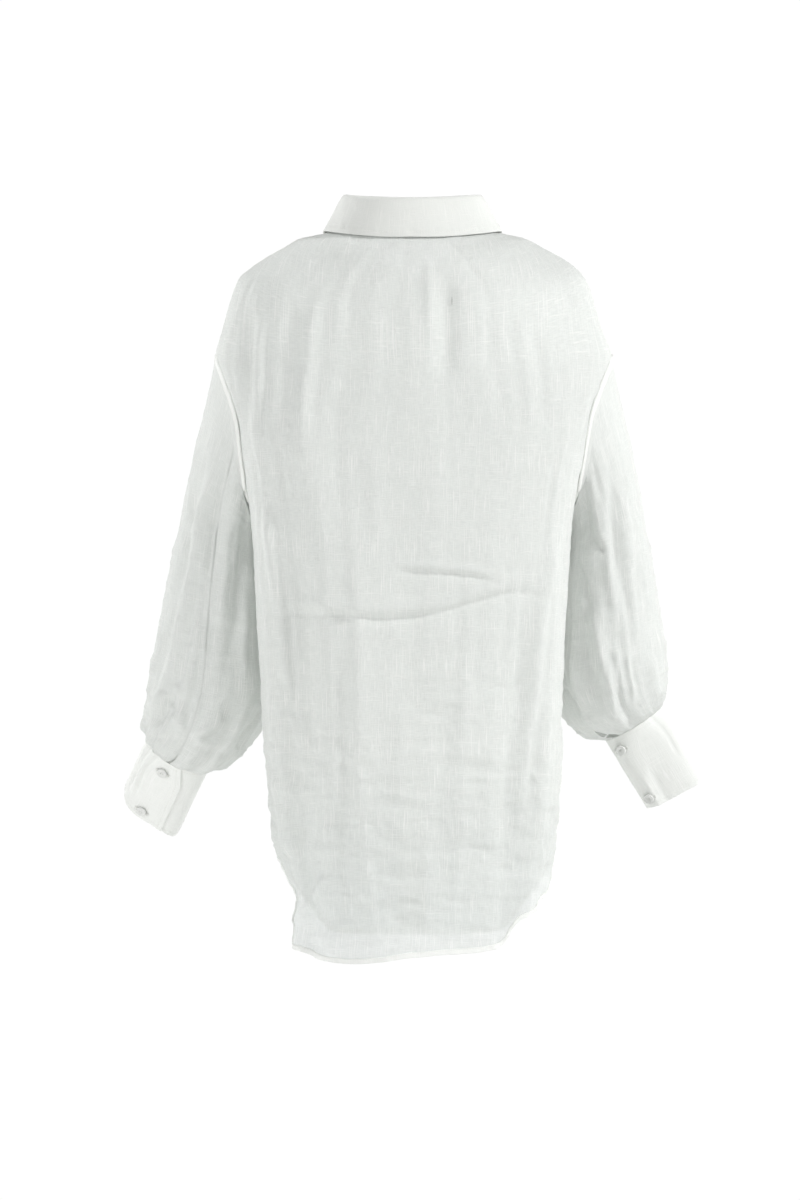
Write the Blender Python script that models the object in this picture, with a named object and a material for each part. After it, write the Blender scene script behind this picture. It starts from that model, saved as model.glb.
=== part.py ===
"""Ramie shirt: an oversized, filled-out shirt with a turned-down collar, dropped shoulders, full gathered
sleeves, deep two-button cuffs and a curved shirt-tail hem.

Metres, +Z up. The front faces -Y and the wearer's left is +X. The origin is at the base of the neck.

The body is one form, body_point(level, angle): "level" is how far down the cloth runs, and "angle" goes round
the figure in degrees, 0 at the centre back, +90 at the left side, 180 at the centre front. The panels are
stretches of that form with their seams 0.3 mm apart. A sleeve is a tube through oval sections that starts on
the armhole, and a cuff is a band that laps over its own start.
"""
import math

import bmesh
import bpy
import numpy as np
from mathutils import Matrix, Vector

# Cloth and gaps
CLOTH = 0.0015
FIRM_CLOTH = 0.0018
SEAM_GAP = 0.0003
REST_GAP = 0.0004

# Body levels
TIP_LEVEL = 0.130
UNDERARM_LEVEL = 0.290
SIDE_HEM = 0.655

# Armhole, as angles round the body form
SIDE_ANGLE_TOP = 90.0
SIDE_ANGLE_UNDERARM = 108.0
SIDE_ANGLE_HEM = 98.0
ARMHOLE_BACK = 24.0
ARMHOLE_FRONT = 34.0
ARMHOLE_STEPS = 12

# Front closure
PLACKET_HALF = 0.015
PLACKET_START = 0.0045
UNDERLAP = 0.012
UNDERLAP_BLEND = 0.022
FRONT_BUTTONS = 6
FIRST_BUTTON_DROP = 0.060
BUTTON_PITCH = 0.092

# Cuffs
CUFF_DEPTH = 0.089
CUFF_LAP = 45.0
CUFF_STEP = 9.0
CUFF_SPIRAL = 0.00125
CUFF_BUTTON_DEPTHS = (0.0150, 0.0775)

# Buttons
BUTTON_RADIUS = 0.0057
BUTTON_THICKNESS = 0.0022
BUTTON_SIDES = 12

# Grid sizes
BACK_COLUMNS = 26
FRONT_COLUMNS = 10
YOKE_ROWS = 5
SKIRT_ROWS = 10
SLEEVE_COLUMNS = 4 * ARMHOLE_STEPS
SLEEVE_RINGS = (0, 0.5, 1, 1.5, 2.2, 3.1, 4, 4.8, 5.5, 6.1, 6.6, 7, 7.5, 8)
SLIT_START = 6.5

# The body's sections. A row gives where the section passes the sides, the centre back and the centre front.
BODY_COLUMNS = (
    "level",
    "left_x",
    "right_x",
    "side_y",
    "side_z",
    "back_y",
    "back_z",
    "front_y",
    "front_z",
    "back_square",
    "front_square",
)
BODY_SECTIONS = (
    (0.000, 0.0750, 0.0750, -0.004, 0.0100, 0.060, 0.001, -0.078, -0.070, 2.05, 2.0),
    (0.020, 0.0940, 0.0940, -0.002, 0.0040, 0.077, -0.012, -0.088, -0.085, 2.1, 2.0),
    (0.045, 0.1200, 0.1195, 0.000, -0.0020, 0.087, -0.026, -0.095, -0.098, 2.15, 2.0),
    (0.065, 0.1385, 0.1390, 0.002, -0.0127, 0.093, -0.040, -0.101, -0.110, 2.2, 2.0),
    (0.080, 0.1565, 0.1580, 0.004, -0.0230, 0.098, -0.053, -0.105, -0.120, 2.2, 2.0),
    (0.093, 0.1725, 0.1735, 0.006, -0.0340, 0.102, -0.066, -0.109, -0.130, 2.2, 2.0),
    (0.102, 0.1830, 0.1830, 0.007, -0.0445, 0.105, -0.078, -0.112, -0.140, 2.15, 2.0),
    (0.110, 0.1915, 0.1910, 0.008, -0.0657, 0.108, -0.094, -0.115, -0.152, 2.1, 1.95),
    (0.120, 0.1990, 0.1985, 0.009, -0.0920, 0.111, -0.114, -0.118, -0.165, 2.05, 1.9),
    (0.130, 0.2075, 0.2105, 0.010, -0.1240, 0.114, -0.136, -0.121, -0.178, 1.95, 1.85),
    (0.205, 0.1880, 0.1890, 0.020, -0.2000, 0.121, -0.204, -0.126, -0.222, 2.6, 2.1),
    (0.290, 0.1715, 0.1690, 0.030, -0.2900, 0.124, -0.290, -0.130, -0.290, 2.7, 2.0),
    (0.357, 0.1664, 0.1640, 0.030, -0.3570, 0.124, -0.357, -0.131, -0.357, 2.6, 2.0),
    (0.458, 0.1595, 0.1588, 0.028, -0.4580, 0.122, -0.458, -0.130, -0.458, 2.5, 2.0),
    (0.563, 0.1521, 0.1553, 0.022, -0.5630, 0.118, -0.563, -0.126, -0.563, 2.4, 2.0),
    (0.650, 0.1420, 0.1470, 0.016, -0.6500, 0.112, -0.650, -0.120, -0.650, 2.3, 2.0),
    (0.715, 0.1290, 0.1400, 0.013, -0.7150, 0.108, -0.715, -0.116, -0.715, 2.2, 2.0),
    (0.770, 0.1330, 0.1365, 0.010, -0.7700, 0.104, -0.770, -0.112, -0.770, 2.2, 2.0),
)

# The hem's level on the back. Columns: angle from the centre back, level on the left, level on the right.
BACK_HEM = (
    (0, 0.7590, 0.7560),
    (22, 0.7645, 0.7535),
    (33, 0.7640, 0.7505),
    (42, 0.7620, 0.7450),
    (50, 0.7580, 0.7225),
    (60, 0.7530, 0.7115),
    (68, 0.7480, 0.7035),
    (73, 0.7200, 0.6985),
    (80, 0.6950, 0.6920),
    (90, 0.6720, 0.6780),
    (98, SIDE_HEM, SIDE_HEM),
)
# The hem's level on the front. Columns: angle from the centre front, level.
FRONT_HEM = (
    (0, 0.743),
    (40, 0.738),
    (55, 0.717),
    (68, 0.686),
    (82, SIDE_HEM),
)

# Soft folds that run down the body. Columns: angle round it, reach each way, first level, last level, height.
BODY_FOLDS = (
    (52.0, 7.0, 0.330, 0.800, -0.0055),
    (66.0, 7.0, 0.240, 0.800, 0.0035),
    (-60.0, 8.0, 0.300, 0.800, 0.0045),
    (-44.0, 7.0, 0.430, 0.800, -0.0035),
    (17.0, 9.0, 0.080, 0.340, -0.0025),
    (-12.0, 10.0, 0.480, 0.800, -0.0035),
    (10.0, 9.0, 0.560, 0.800, 0.0030),
    (128.0, 8.0, 0.330, 0.780, -0.0050),
    (146.0, 9.0, 0.360, 0.780, 0.0040),
    (-126.0, 8.0, 0.320, 0.780, -0.0050),
    (-148.0, 9.0, 0.380, 0.780, 0.0040),
)
# The long crease across the back: its level, reach and depth.
CROSS_CREASE_LEVEL = 0.395
CROSS_CREASE_REACH = 0.022
CROSS_CREASE_DEPTH = 0.0025

# A sleeve's sections, from the armhole to the cuff. "across" and "deep" are half sizes; "tilt" raises the
# outer side and "lean" turns the lower end forward, both in degrees.
SLEEVE_TABLE_COLUMNS = ("x", "y", "z", "across", "deep", "tilt", "lean", "gather")
SLEEVE_SECTIONS = {
    "left": (
        (0.180, -0.012, -0.205, 0.085, 0.075, 74, 0, 0.0),
        (0.186, -0.048, -0.245, 0.058, 0.078, 50, 0, 0.0),
        (0.199, -0.074, -0.295, 0.047, 0.078, 25, 0, 0.0),
        (0.2040, -0.080, -0.350, 0.0515, 0.078, 14, 4, 0.0005),
        (0.2085, -0.084, -0.420, 0.059, 0.078, 12, 6, 0.0014),
        (0.2130, -0.089, -0.475, 0.065, 0.077, 13, 8, 0.0026),
        (0.2250, -0.095, -0.512, 0.0590, 0.067, 17, 17, 0.0036),
        (0.2385, -0.103, -0.534, 0.0515, 0.049, 22, 29, 0.0034),
        (0.2496, -0.112, -0.5448, 0.037, 0.026, 26, 42, 0.0010),
    ),
    "right": (
        (0.180, -0.012, -0.203, 0.085, 0.075, 74, 0, 0.0),
        (0.186, -0.048, -0.243, 0.060, 0.078, 50, 0, 0.0),
        (0.1995, -0.074, -0.292, 0.047, 0.078, 25, 0, 0.0),
        (0.202, -0.080, -0.347, 0.0515, 0.078, 14, 3, 0.0005),
        (0.204, -0.084, -0.405, 0.057, 0.078, 12, 4, 0.0014),
        (0.206, -0.088, -0.455, 0.0625, 0.077, 14, 6, 0.0026),
        (0.2155, -0.093, -0.490, 0.0575, 0.066, 19, 8, 0.0036),
        (0.226, -0.097, -0.507, 0.047, 0.046, 26, 10, 0.0034),
        (0.2367, -0.100, -0.515, 0.0358, 0.022, 31, 12, 0.0010),
    ),
}
GATHERS = 12
SLEEVE_FOLDS = 3
SLEEVE_FOLD_HEIGHT = 0.0030
SLEEVE_CLEARANCE = 0.0035
# Where each sleeve's wrist slit and cuff edge are, as angles round the sleeve from its outer side by the back,
# and how far the slit stands open at its widest and at the cuff.
SLIT_ANGLE = {"left": 82.5, "right": 150.0}
SLIT_WIDTH = {"left": (0.0024, 0.0014), "right": (0.0110, 0.0050)}
FLAP_ANGLE = {"left": 108.0, "right": 164.0}
CUFF_BUTTON_ANGLE = {"left": 85.0, "right": 130.0}
CUFF_END_SCALE = {"left": (1.00, 1.20), "right": (0.95, 1.10)}
# How much shorter a cuff falls on its outer side than on its inner side, as a share of its depth each way.
CUFF_SKEW = {"left": 0.16, "right": -0.03}

# Collar: the stand's upper edge, the fall's fold over it and its lower edge on the body.
STAND_TOP_SIDE = (0.069, 0.0376)
STAND_TOP_BACK = (0.0575, 0.0318)
STAND_TOP_FRONT = (-0.072, -0.040)
STAND_STEP = 10.0
STAND_END_ANGLE = 190.0
STAND_SPIRAL = 0.0012
FALL_STEP = 9.0
FALL_END_ANGLE = 171.0
# The fall's turn over the stand's upper edge. Columns: outward, upward.
FALL_FOLD = (
    (-0.0019, 0.0008),
    (-0.0019, 0.0042),
    (0.0028, 0.0085),
    (0.0070, 0.0045),
)
# The fall's lower edge on the body. Columns: angle, level, lift off the body.
FALL_EDGE = (
    (0, 0.0080, 0.0050),
    (45, 0.0120, 0.0045),
    (90, 0.0200, 0.0040),
    (125, 0.026, 0.0050),
    (150, 0.034, 0.0060),
    (171, 0.010, 0.0075),
)

CLOTH_COLOUR = (0.80, 0.81, 0.78)
FIRM_COLOUR = (0.86, 0.87, 0.85)
BUTTON_COLOUR = (0.88, 0.88, 0.85)


def clear_scene():
    for thing in list(bpy.data.objects):
        bpy.data.objects.remove(thing, do_unlink=True)


def make_collection(name):
    collection = bpy.data.collections.new(name)
    bpy.context.scene.collection.children.link(collection)
    return collection


def make_material(name, colour, roughness):
    material = bpy.data.materials.new(name)
    material.use_nodes = True
    shader = material.node_tree.nodes["Principled BSDF"]
    shader.inputs["Base Color"].default_value = (*colour, 1.0)
    shader.inputs["Roughness"].default_value = roughness
    shader.inputs["Metallic"].default_value = 0.0
    return material


def smooth_step(value):
    value = min(max(value, 0.0), 1.0)
    return value * value * (3.0 - 2.0 * value)


def smooth_between(position, places, values):
    """A smooth curve through values at places, read at position."""
    places = list(places)
    last = len(places) - 2
    index = 0
    while index < last and position > places[index + 1]:
        index += 1
    slopes = []
    for end in (index, index + 1):
        low, high = max(end - 1, 0), min(end + 1, len(places) - 1)
        slopes.append((values[high] - values[low]) / (places[high] - places[low]))
    width = places[index + 1] - places[index]
    along = min(max((position - places[index]) / width, 0.0), 1.0)
    rise = values[index + 1] - values[index]
    start_slope, end_slope = slopes[0] * width, slopes[1] * width
    bend = 3 * rise - 2 * start_slope - end_slope
    ease = start_slope + end_slope - 2 * rise
    return values[index] + along * (start_slope + along * (bend + along * ease))


def section_at(level):
    """The body's section at a level, as a dictionary of BODY_COLUMNS."""
    levels = [row[0] for row in BODY_SECTIONS]
    found = {}
    for column, name in enumerate(BODY_COLUMNS):
        found[name] = smooth_between(level, levels, [row[column] for row in BODY_SECTIONS])
    return found


def angle_apart(one, other):
    return (one - other + 180.0) % 360.0 - 180.0


def fold_height(level, angle):
    """How far the folds raise the cloth at a place on the body."""
    height = 0.0
    for centre, reach, start, end, most in BODY_FOLDS:
        across = abs(angle_apart(angle, centre)) / reach
        if across < 2.5:
            along = smooth_step((level - start) / 0.08) * smooth_step((end - level) / 0.08)
            height += most * along * math.exp(-across * across)
    if abs(angle_apart(angle, 0.0)) < 85.0:
        wave = 0.008 * math.sin(math.radians(angle * 2.6))
        across = (level - CROSS_CREASE_LEVEL - wave) / CROSS_CREASE_REACH
        height -= CROSS_CREASE_DEPTH * math.exp(-across * across)
    return height


def plain_body_point(level, angle):
    """A point on the body's form without folds."""
    row = section_at(level)
    turn = math.radians(angle)
    sine, cosine = math.sin(turn), math.cos(turn)
    power = 2.0 / (row["back_square"] if cosine > 0 else row["front_square"])
    middle = (row["left_x"] + row["right_x"]) / 2
    uneven = (row["left_x"] - row["right_x"]) / 2
    x = (middle + uneven * sine) * math.copysign(abs(sine) ** power, sine)
    centre_y = row["back_y"] if cosine > 0 else row["front_y"]
    centre_z = row["back_z"] if cosine > 0 else row["front_z"]
    y = row["side_y"] + (centre_y - row["side_y"]) * abs(cosine) ** power
    z = row["side_z"] + (centre_z - row["side_z"]) * abs(cosine) ** 1.6
    return Vector((x, y, z))


def normal_of(form, level, angle):
    """The outward direction of a form at a place, from points beside it."""
    level_step, angle_step = 0.0015, 0.8
    above = max(level - level_step, 0.0)
    down = form(level + level_step, angle) - form(above, angle)
    round_ = form(level, angle + angle_step) - form(level, angle - angle_step)
    return round_.cross(down).normalized()


def body_point(level, angle, lift=0.0):
    """A point on the folded body, moved out of the cloth by lift."""
    direction = normal_of(plain_body_point, level, angle)
    return plain_body_point(level, angle) + direction * (fold_height(level, angle) + lift)


def body_normal(level, angle):
    return normal_of(body_point, level, angle)


def side_angle(level):
    """The angle of the shoulder seam, the armhole's middle and the side seam."""
    if level <= TIP_LEVEL:
        return SIDE_ANGLE_TOP
    if level <= UNDERARM_LEVEL:
        along = (level - TIP_LEVEL) / (UNDERARM_LEVEL - TIP_LEVEL)
        return SIDE_ANGLE_TOP + (SIDE_ANGLE_UNDERARM - SIDE_ANGLE_TOP) * along
    along = smooth_step((level - UNDERARM_LEVEL) / (SIDE_HEM - UNDERARM_LEVEL))
    return SIDE_ANGLE_UNDERARM + (SIDE_ANGLE_HEM - SIDE_ANGLE_UNDERARM) * along


def armhole_level(turn):
    """The level of the armhole's edge at a turn round it, 0 at the shoulder and 180 at the underarm."""
    share = (1.0 - math.cos(math.radians(turn))) / 2
    return TIP_LEVEL + (UNDERARM_LEVEL - TIP_LEVEL) * share


def armhole_turns():
    return [180.0 * step / ARMHOLE_STEPS for step in range(ARMHOLE_STEPS + 1)]


def hem_level(angle):
    """How far down the hem runs at an angle round the body."""
    signed = angle_apart(angle, 0.0)
    if abs(signed) > SIDE_ANGLE_HEM:
        places, levels = zip(*FRONT_HEM)
        return smooth_between(180.0 - abs(signed), places, levels)
    places, left_levels, right_levels = zip(*BACK_HEM)
    left = smooth_between(abs(signed), places, left_levels)
    right = smooth_between(abs(signed), places, right_levels)
    return right + (left - right) * smooth_step(0.5 + signed / 24.0)


def body_rows():
    """The panels' rows: (level at the side, turn round the armhole or None, share of the way to the hem)."""
    rows = [(TIP_LEVEL * step / YOKE_ROWS, None, 0.0) for step in range(YOKE_ROWS)]
    rows += [(armhole_level(turn), turn, 0.0) for turn in armhole_turns()]
    for step in range(1, SKIRT_ROWS + 1):
        rows.append((UNDERARM_LEVEL, None, step / SKIRT_ROWS))
    return rows


def row_level(row, angle):
    """A row's level at an angle: the rows under the arms spread out to reach the hem."""
    level, _, share = row
    return level + share * (hem_level(angle) - level)


def half_gap_angle(level, angle):
    """Half a seam's gap, as an angle round the body."""
    step = (plain_body_point(level, angle + 0.5) - plain_body_point(level, angle - 0.5)).length
    return SEAM_GAP / 2 / step


def seam_end(row, toward_back):
    """The angle at which a panel's row ends at the shoulder seam, armhole or side seam of the left side."""
    level, turn, share = row
    if turn is not None:
        opening = ARMHOLE_BACK if toward_back else ARMHOLE_FRONT
        swing = opening * math.sin(math.radians(turn))
    else:
        swing = 0.0
    if share > 0.0:
        level = level + share * (hem_level(SIDE_ANGLE_HEM) - level)
    middle = side_angle(level)
    gap = half_gap_angle(level, middle) if turn in (None, 0.0, 180.0) else 0.0
    return middle - swing - gap if toward_back else middle + swing + gap


def wall(name, outer, inward, thickness, material, collection, closed=False, open_from=None):
    """A cloth wall: a grid of outer points, the same moved inward, and the edges between them.

    A closed grid's last column joins its first, but from row open_from on it stays open along a slit.
    """
    rows, columns = len(outer), len(outer[0])
    mesh = bmesh.new()
    layers = []
    for side in (0.0, thickness):
        layer = []
        for row in range(rows):
            line = []
            for column in range(columns):
                wraps = closed and column == columns - 1 and (open_from is None or row < open_from)
                if wraps:
                    line.append(line[0])
                else:
                    line.append(mesh.verts.new(outer[row][column] + inward[row][column] * side))
            layer.append(line)
        layers.append(layer)
    front, back = layers
    edge_uses = {}
    for row in range(rows - 1):
        for column in range(columns - 1):
            corners = [(row, column), (row, column + 1), (row + 1, column + 1), (row + 1, column)]
            mesh.faces.new([front[r][c] for r, c in corners])
            mesh.faces.new([back[r][c] for r, c in reversed(corners)])
            for place, corner in enumerate(corners):
                other = corners[(place + 1) % 4]
                start, end = front[corner[0]][corner[1]], front[other[0]][other[1]]
                inner_pair = (back[corner[0]][corner[1]], back[other[0]][other[1]])
                key = frozenset((start, end))
                edge_uses.setdefault(key, []).append((start, end, *inner_pair))
    for uses in edge_uses.values():
        if len(uses) == 1:
            start, end, inner_start, inner_end = uses[0]
            mesh.faces.new((end, start, inner_start, inner_end))
    bmesh.ops.recalc_face_normals(mesh, faces=mesh.faces)
    return finish_mesh(name, mesh, material, collection)


def finish_mesh(name, mesh, material, collection):
    data = bpy.data.meshes.new(name)
    mesh.to_mesh(data)
    mesh.free()
    data.shade_smooth()
    data.set_sharp_from_angle(angle=math.radians(40))
    piece = bpy.data.objects.new(name, data)
    piece.data.materials.append(material)
    collection.objects.link(piece)
    return piece


def grid_normals(grid, closed, outward_hint):
    """Unit normals of a grid of points, facing the way that outward_hint gives for the first point."""
    rows, columns = len(grid), len(grid[0])
    normals = []
    for row in range(rows):
        line = []
        for column in range(columns):
            above, below = grid[max(row - 1, 0)][column], grid[min(row + 1, rows - 1)][column]
            if closed:
                last = columns - 1
                before, after = grid[row][(column - 1) % last], grid[row][(column + 1) % last]
            else:
                before, after = grid[row][max(column - 1, 0)], grid[row][min(column + 1, columns - 1)]
            line.append((after - before).cross(below - above).normalized())
        normals.append(line)
    if normals[1][0].dot(outward_hint) < 0:
        normals = [[-direction for direction in line] for line in normals]
    return normals


def panel(name, start_angle, end_angle, columns, material, collection, lift=None, rows=None):
    """A stretch of the body from start_angle(row) to end_angle(row)."""
    outer, inward = [], []
    for row in rows or body_rows():
        start, end = start_angle(row), end_angle(row)
        line, directions = [], []
        for column in range(columns + 1):
            angle = start + (end - start) * column / columns
            level = row_level(row, angle)
            raised = lift(level, angle) if lift else 0.0
            line.append(body_point(level, angle, raised))
            directions.append(-body_normal(level, angle))
        outer.append(line)
        inward.append(directions)
    return wall(name, outer, inward, CLOTH, material, collection)


def centre_angle(level, x):
    """The angle at which the front has this x, counted past 180 on the wearer's right."""
    row = section_at(level)
    return 180.0 - math.degrees(math.asin(x / ((row["left_x"] + row["right_x"]) / 2)))


def make_back(material, collection):
    return panel(
        "back",
        lambda row: -seam_end(row, True),
        lambda row: seam_end(row, True),
        BACK_COLUMNS,
        material,
        collection,
    )


def front_edge(row, x):
    level = row[0] + row[2] * (hem_level(180.0) - row[0])
    return centre_angle(level, x)


def underlap_lift(level, angle):
    """The left front dips under the right one beside the centre."""
    from_edge = (centre_angle(level, -UNDERLAP) - angle) * math.radians(section_at(level)["left_x"])
    past = smooth_step((UNDERLAP + PLACKET_HALF + UNDERLAP_BLEND - from_edge) / UNDERLAP_BLEND)
    return -(CLOTH + 2 * REST_GAP) * past


def make_fronts(material, collection):
    panel(
        "front_left",
        lambda row: seam_end(row, False),
        lambda row: front_edge(row, -UNDERLAP),
        FRONT_COLUMNS,
        material,
        collection,
        lift=underlap_lift,
    )
    panel(
        "front_right",
        lambda row: -seam_end(row, False),
        lambda row: -360.0 + front_edge(row, PLACKET_HALF),
        FRONT_COLUMNS,
        material,
        collection,
    )


def make_placket(material, collection):
    """The buttonhole band, moved out from the right front's own points, from just under the collar's stand."""
    rows = [(max(level, PLACKET_START), turn, share) for level, turn, share in body_rows()]
    return panel(
        "placket",
        lambda row: -360.0 + front_edge(row, -PLACKET_HALF),
        lambda row: -360.0 + front_edge(row, PLACKET_HALF),
        2,
        material,
        collection,
        lift=lambda level, angle: CLOTH + REST_GAP,
        rows=rows,
    )


def oval_frame(tilt, lean, side):
    """A section's across, back and downward directions."""
    turn, tip = math.radians(tilt), math.radians(lean)
    across = Vector((side * math.cos(turn), 0.0, math.sin(turn)))
    down = Vector((side * math.sin(turn), 0.0, -math.cos(turn)))
    back = Vector((0.0, 1.0, 0.0))
    return (
        across,
        back * math.cos(tip) + down * math.sin(tip),
        down * math.cos(tip) - back * math.sin(tip),
    )


def sleeve_section(sections, place):
    places = range(len(sections))
    values = []
    for column in range(len(SLEEVE_TABLE_COLUMNS)):
        values.append(smooth_between(place, places, [row[column] for row in sections]))
    return dict(zip(SLEEVE_TABLE_COLUMNS, values))


def gather_height(turn, place, depth):
    """The folds round a sleeve: broad ones along it, and gathers that grow towards the cuff."""
    broad = SLEEVE_FOLD_HEIGHT * smooth_step((place - 1.5) / 2.5) * smooth_step((8.0 - place) / 2.0)
    wave = broad * math.sin(math.radians(SLEEVE_FOLDS * turn + 40.0 + 12.0 * place))
    return wave + depth * math.sin(math.radians(GATHERS * turn + 20.0))


def oval_point(section, turn, place, side):
    """A point of a sleeve's section; the turn goes from the outer side by the back to the inner side."""
    across, back, _ = oval_frame(section["tilt"], section["lean"], side)
    angle = math.radians(turn)
    centre = Vector((side * section["x"], section["y"], section["z"]))
    reach = across * (section["across"] * math.cos(angle)) + back * (section["deep"] * math.sin(angle))
    normal = across * (section["deep"] * math.cos(angle)) + back * (section["across"] * math.sin(angle))
    return centre + reach + normal.normalized() * gather_height(turn, place, section["gather"])


def clear_of_body(point, clearance):
    """The point, moved straight out from the body's middle where it is nearer the form than clearance."""
    levels = [row[0] for row in BODY_SECTIONS]
    heights = [-row[BODY_COLUMNS.index("side_z")] for row in BODY_SECTIONS]
    level = float(np.interp(-point.z, heights, levels))
    row = section_at(level)
    wide = row["left_x"] if point.x > 0 else row["right_x"]
    away = point.y - row["side_y"]
    deep = row["back_y"] - row["side_y"] if away > 0 else row["side_y"] - row["front_y"]
    power = row["back_square"] if away > 0 else row["front_square"]
    share = (abs(point.x / wide) ** power + abs(away / deep) ** power) ** (1.0 / power)
    wanted = 1.0 + clearance / deep
    if share >= wanted:
        return point
    grow = wanted / share
    return Vector((point.x * grow, row["side_y"] + away * grow, point.z))


def armhole_place(turn, side):
    """A point on the armhole's edge with the body's direction out of the cloth there."""
    toward_back = turn <= 180.0
    seam_turn = turn if toward_back else 360.0 - turn
    level = armhole_level(seam_turn)
    opening = ARMHOLE_BACK if toward_back else ARMHOLE_FRONT
    swing = opening * math.sin(math.radians(seam_turn))
    angle = side_angle(level) + (-swing if toward_back else swing)
    return body_point(level, side * angle), body_normal(level, side * angle)


def armhole_ring(side):
    """The armhole's corner points, and the point half way between each two, with normals."""
    count = 2 * ARMHOLE_STEPS
    corners = [armhole_place(360.0 * step / count, side) for step in range(count)]
    centre = sum((point for point, _ in corners), Vector()) / count
    ring = {}
    for step in range(count):
        point, normal = corners[step]
        before, after = corners[step - 1][0], corners[(step + 1) % count][0]
        along = (after - before).normalized()
        into_hole = along.cross(normal).normalized()
        if into_hole.dot(centre - point) < 0:
            into_hole = -into_hole
        ring[2 * step] = (point + into_hole * SEAM_GAP, normal)
    for step in range(count):
        (first, one), (second, other) = ring[2 * step], ring[(2 * step + 2) % (2 * count)]
        ring[2 * step + 1] = ((first + second) / 2, (one + other).normalized())
    return ring


def make_sleeve(side_name, material, collection):
    side = 1 if side_name == "left" else -1
    sections = SLEEVE_SECTIONS[side_name]
    step_angle = 360.0 / SLEEVE_COLUMNS
    first = round(SLIT_ANGLE[side_name] / step_angle)
    ring = armhole_ring(side)
    widest, at_cuff = SLIT_WIDTH[side_name]
    grid = []
    for place in SLEEVE_RINGS:
        section = sleeve_section(sections, place)
        round_length = math.pi * (section["across"] + section["deep"])
        slit = 0.0
        if place > SLIT_START:
            rise = smooth_step((place - SLIT_START) / (7.5 - SLIT_START))
            slit = at_cuff if place == SLEEVE_RINGS[-1] else widest * rise
        line = []
        for column in range(SLEEVE_COLUMNS + 1):
            turn = (first + column) * step_angle
            from_slit = min(column, SLEEVE_COLUMNS - column)
            push = slit / 2 / round_length * 360.0 * max(0.0, 1.0 - from_slit / 5.0)
            turn_here = turn + (push if column < SLEEVE_COLUMNS / 2 else -push)
            point = oval_point(section, turn_here, place, side)
            edge_point, _ = ring[(first + column) % SLEEVE_COLUMNS]
            share = smooth_step(place / 2.0)
            point = edge_point.lerp(point, share)
            if place > 0:
                clearance = SLEEVE_CLEARANCE * smooth_step(place / 1.5) + REST_GAP
                point = clear_of_body(point, clearance)
            line.append(point)
        grid.append(line)
    normals = grid_normals(grid, True, Vector((0.0, 1.0, 0.0)))
    for column in range(SLEEVE_COLUMNS + 1):
        _, edge_normal = ring[(first + column) % SLEEVE_COLUMNS]
        own = normals[0][column]
        share = smooth_step((own.dot(edge_normal) + 0.3) / 0.7)
        normals[0][column] = own.lerp(edge_normal, share).normalized()
    cuff_section = sleeve_section(sections, len(sections) - 1)
    _, _, down = oval_frame(cuff_section["tilt"], cuff_section["lean"], side)
    normals[-1] = [(direction - down * direction.dot(down)).normalized() for direction in normals[-1]]
    inward = [[-direction for direction in line] for line in normals]
    open_row = next(row for row, place in enumerate(SLEEVE_RINGS) if place > SLIT_START)
    return wall(
        f"sleeve_{side_name}",
        grid,
        inward,
        CLOTH,
        material,
        collection,
        closed=True,
        open_from=open_row,
    )


def cuff_place(side_name, turn, depth, out):
    """A point on a cuff and its outward direction: turn round it, depth down it, out from its middle line."""
    side = 1 if side_name == "left" else -1
    sections = SLEEVE_SECTIONS[side_name]
    section = sleeve_section(sections, len(sections) - 1)
    across, back, down = oval_frame(section["tilt"], section["lean"], side)
    share = depth / CUFF_DEPTH
    across_scale, deep_scale = CUFF_END_SCALE[side_name]
    wide = section["across"] * (1.0 + (across_scale - 1.0) * share)
    deep = section["deep"] * (1.0 + (deep_scale - 1.0) * share)
    angle = math.radians(turn)
    fall = depth * (1.0 - CUFF_SKEW[side_name] * math.cos(angle))
    centre = Vector((side * section["x"], section["y"], section["z"])) + down * (fall + SEAM_GAP)
    reach = across * (wide * math.cos(angle)) + back * (deep * math.sin(angle))
    normal = (across * (deep * math.cos(angle)) + back * (wide * math.sin(angle))).normalized()
    return centre + reach + normal * out, normal


def make_cuff(side_name, material, collection):
    columns = round((360.0 + CUFF_LAP) / CUFF_STEP)
    rows = 2
    outer, inward = [], []
    for row in range(rows + 1):
        line, directions = [], []
        for column in range(columns + 1):
            share = column / columns
            turn = FLAP_ANGLE[side_name] - 360.0 - CUFF_LAP + CUFF_STEP * column
            out = CUFF_SPIRAL * (2.0 * share - 1.0)
            point, normal = cuff_place(side_name, turn, CUFF_DEPTH * row / rows, out)
            line.append(point)
            directions.append(-normal)
        outer.append(line)
        inward.append(directions)
    return wall(f"cuff_{side_name}", outer, inward, FIRM_CLOTH, material, collection)


def make_button(name, place, direction, material, collection):
    """A round button lying on the cloth, facing along direction."""
    mesh = bmesh.new()
    bmesh.ops.create_cone(
        mesh,
        cap_ends=True,
        segments=BUTTON_SIDES,
        radius1=BUTTON_RADIUS,
        radius2=BUTTON_RADIUS * 0.88,
        depth=BUTTON_THICKNESS,
    )
    turn = Vector((0.0, 0.0, 1.0)).rotation_difference(direction).to_matrix().to_4x4()
    centre = place + direction * (BUTTON_THICKNESS / 2)
    bmesh.ops.transform(mesh, matrix=Matrix.Translation(centre) @ turn, verts=mesh.verts)
    return finish_mesh(name, mesh, material, collection)


def make_cuff_buttons(side_name, material, collection):
    for number, depth in enumerate(CUFF_BUTTON_DEPTHS, start=1):
        turn = CUFF_BUTTON_ANGLE[side_name]
        place, normal = cuff_place(side_name, turn, depth, CUFF_SPIRAL + 2 * REST_GAP)
        make_button(f"cuff_button_{side_name}_{number}", place, normal, material, collection)


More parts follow.
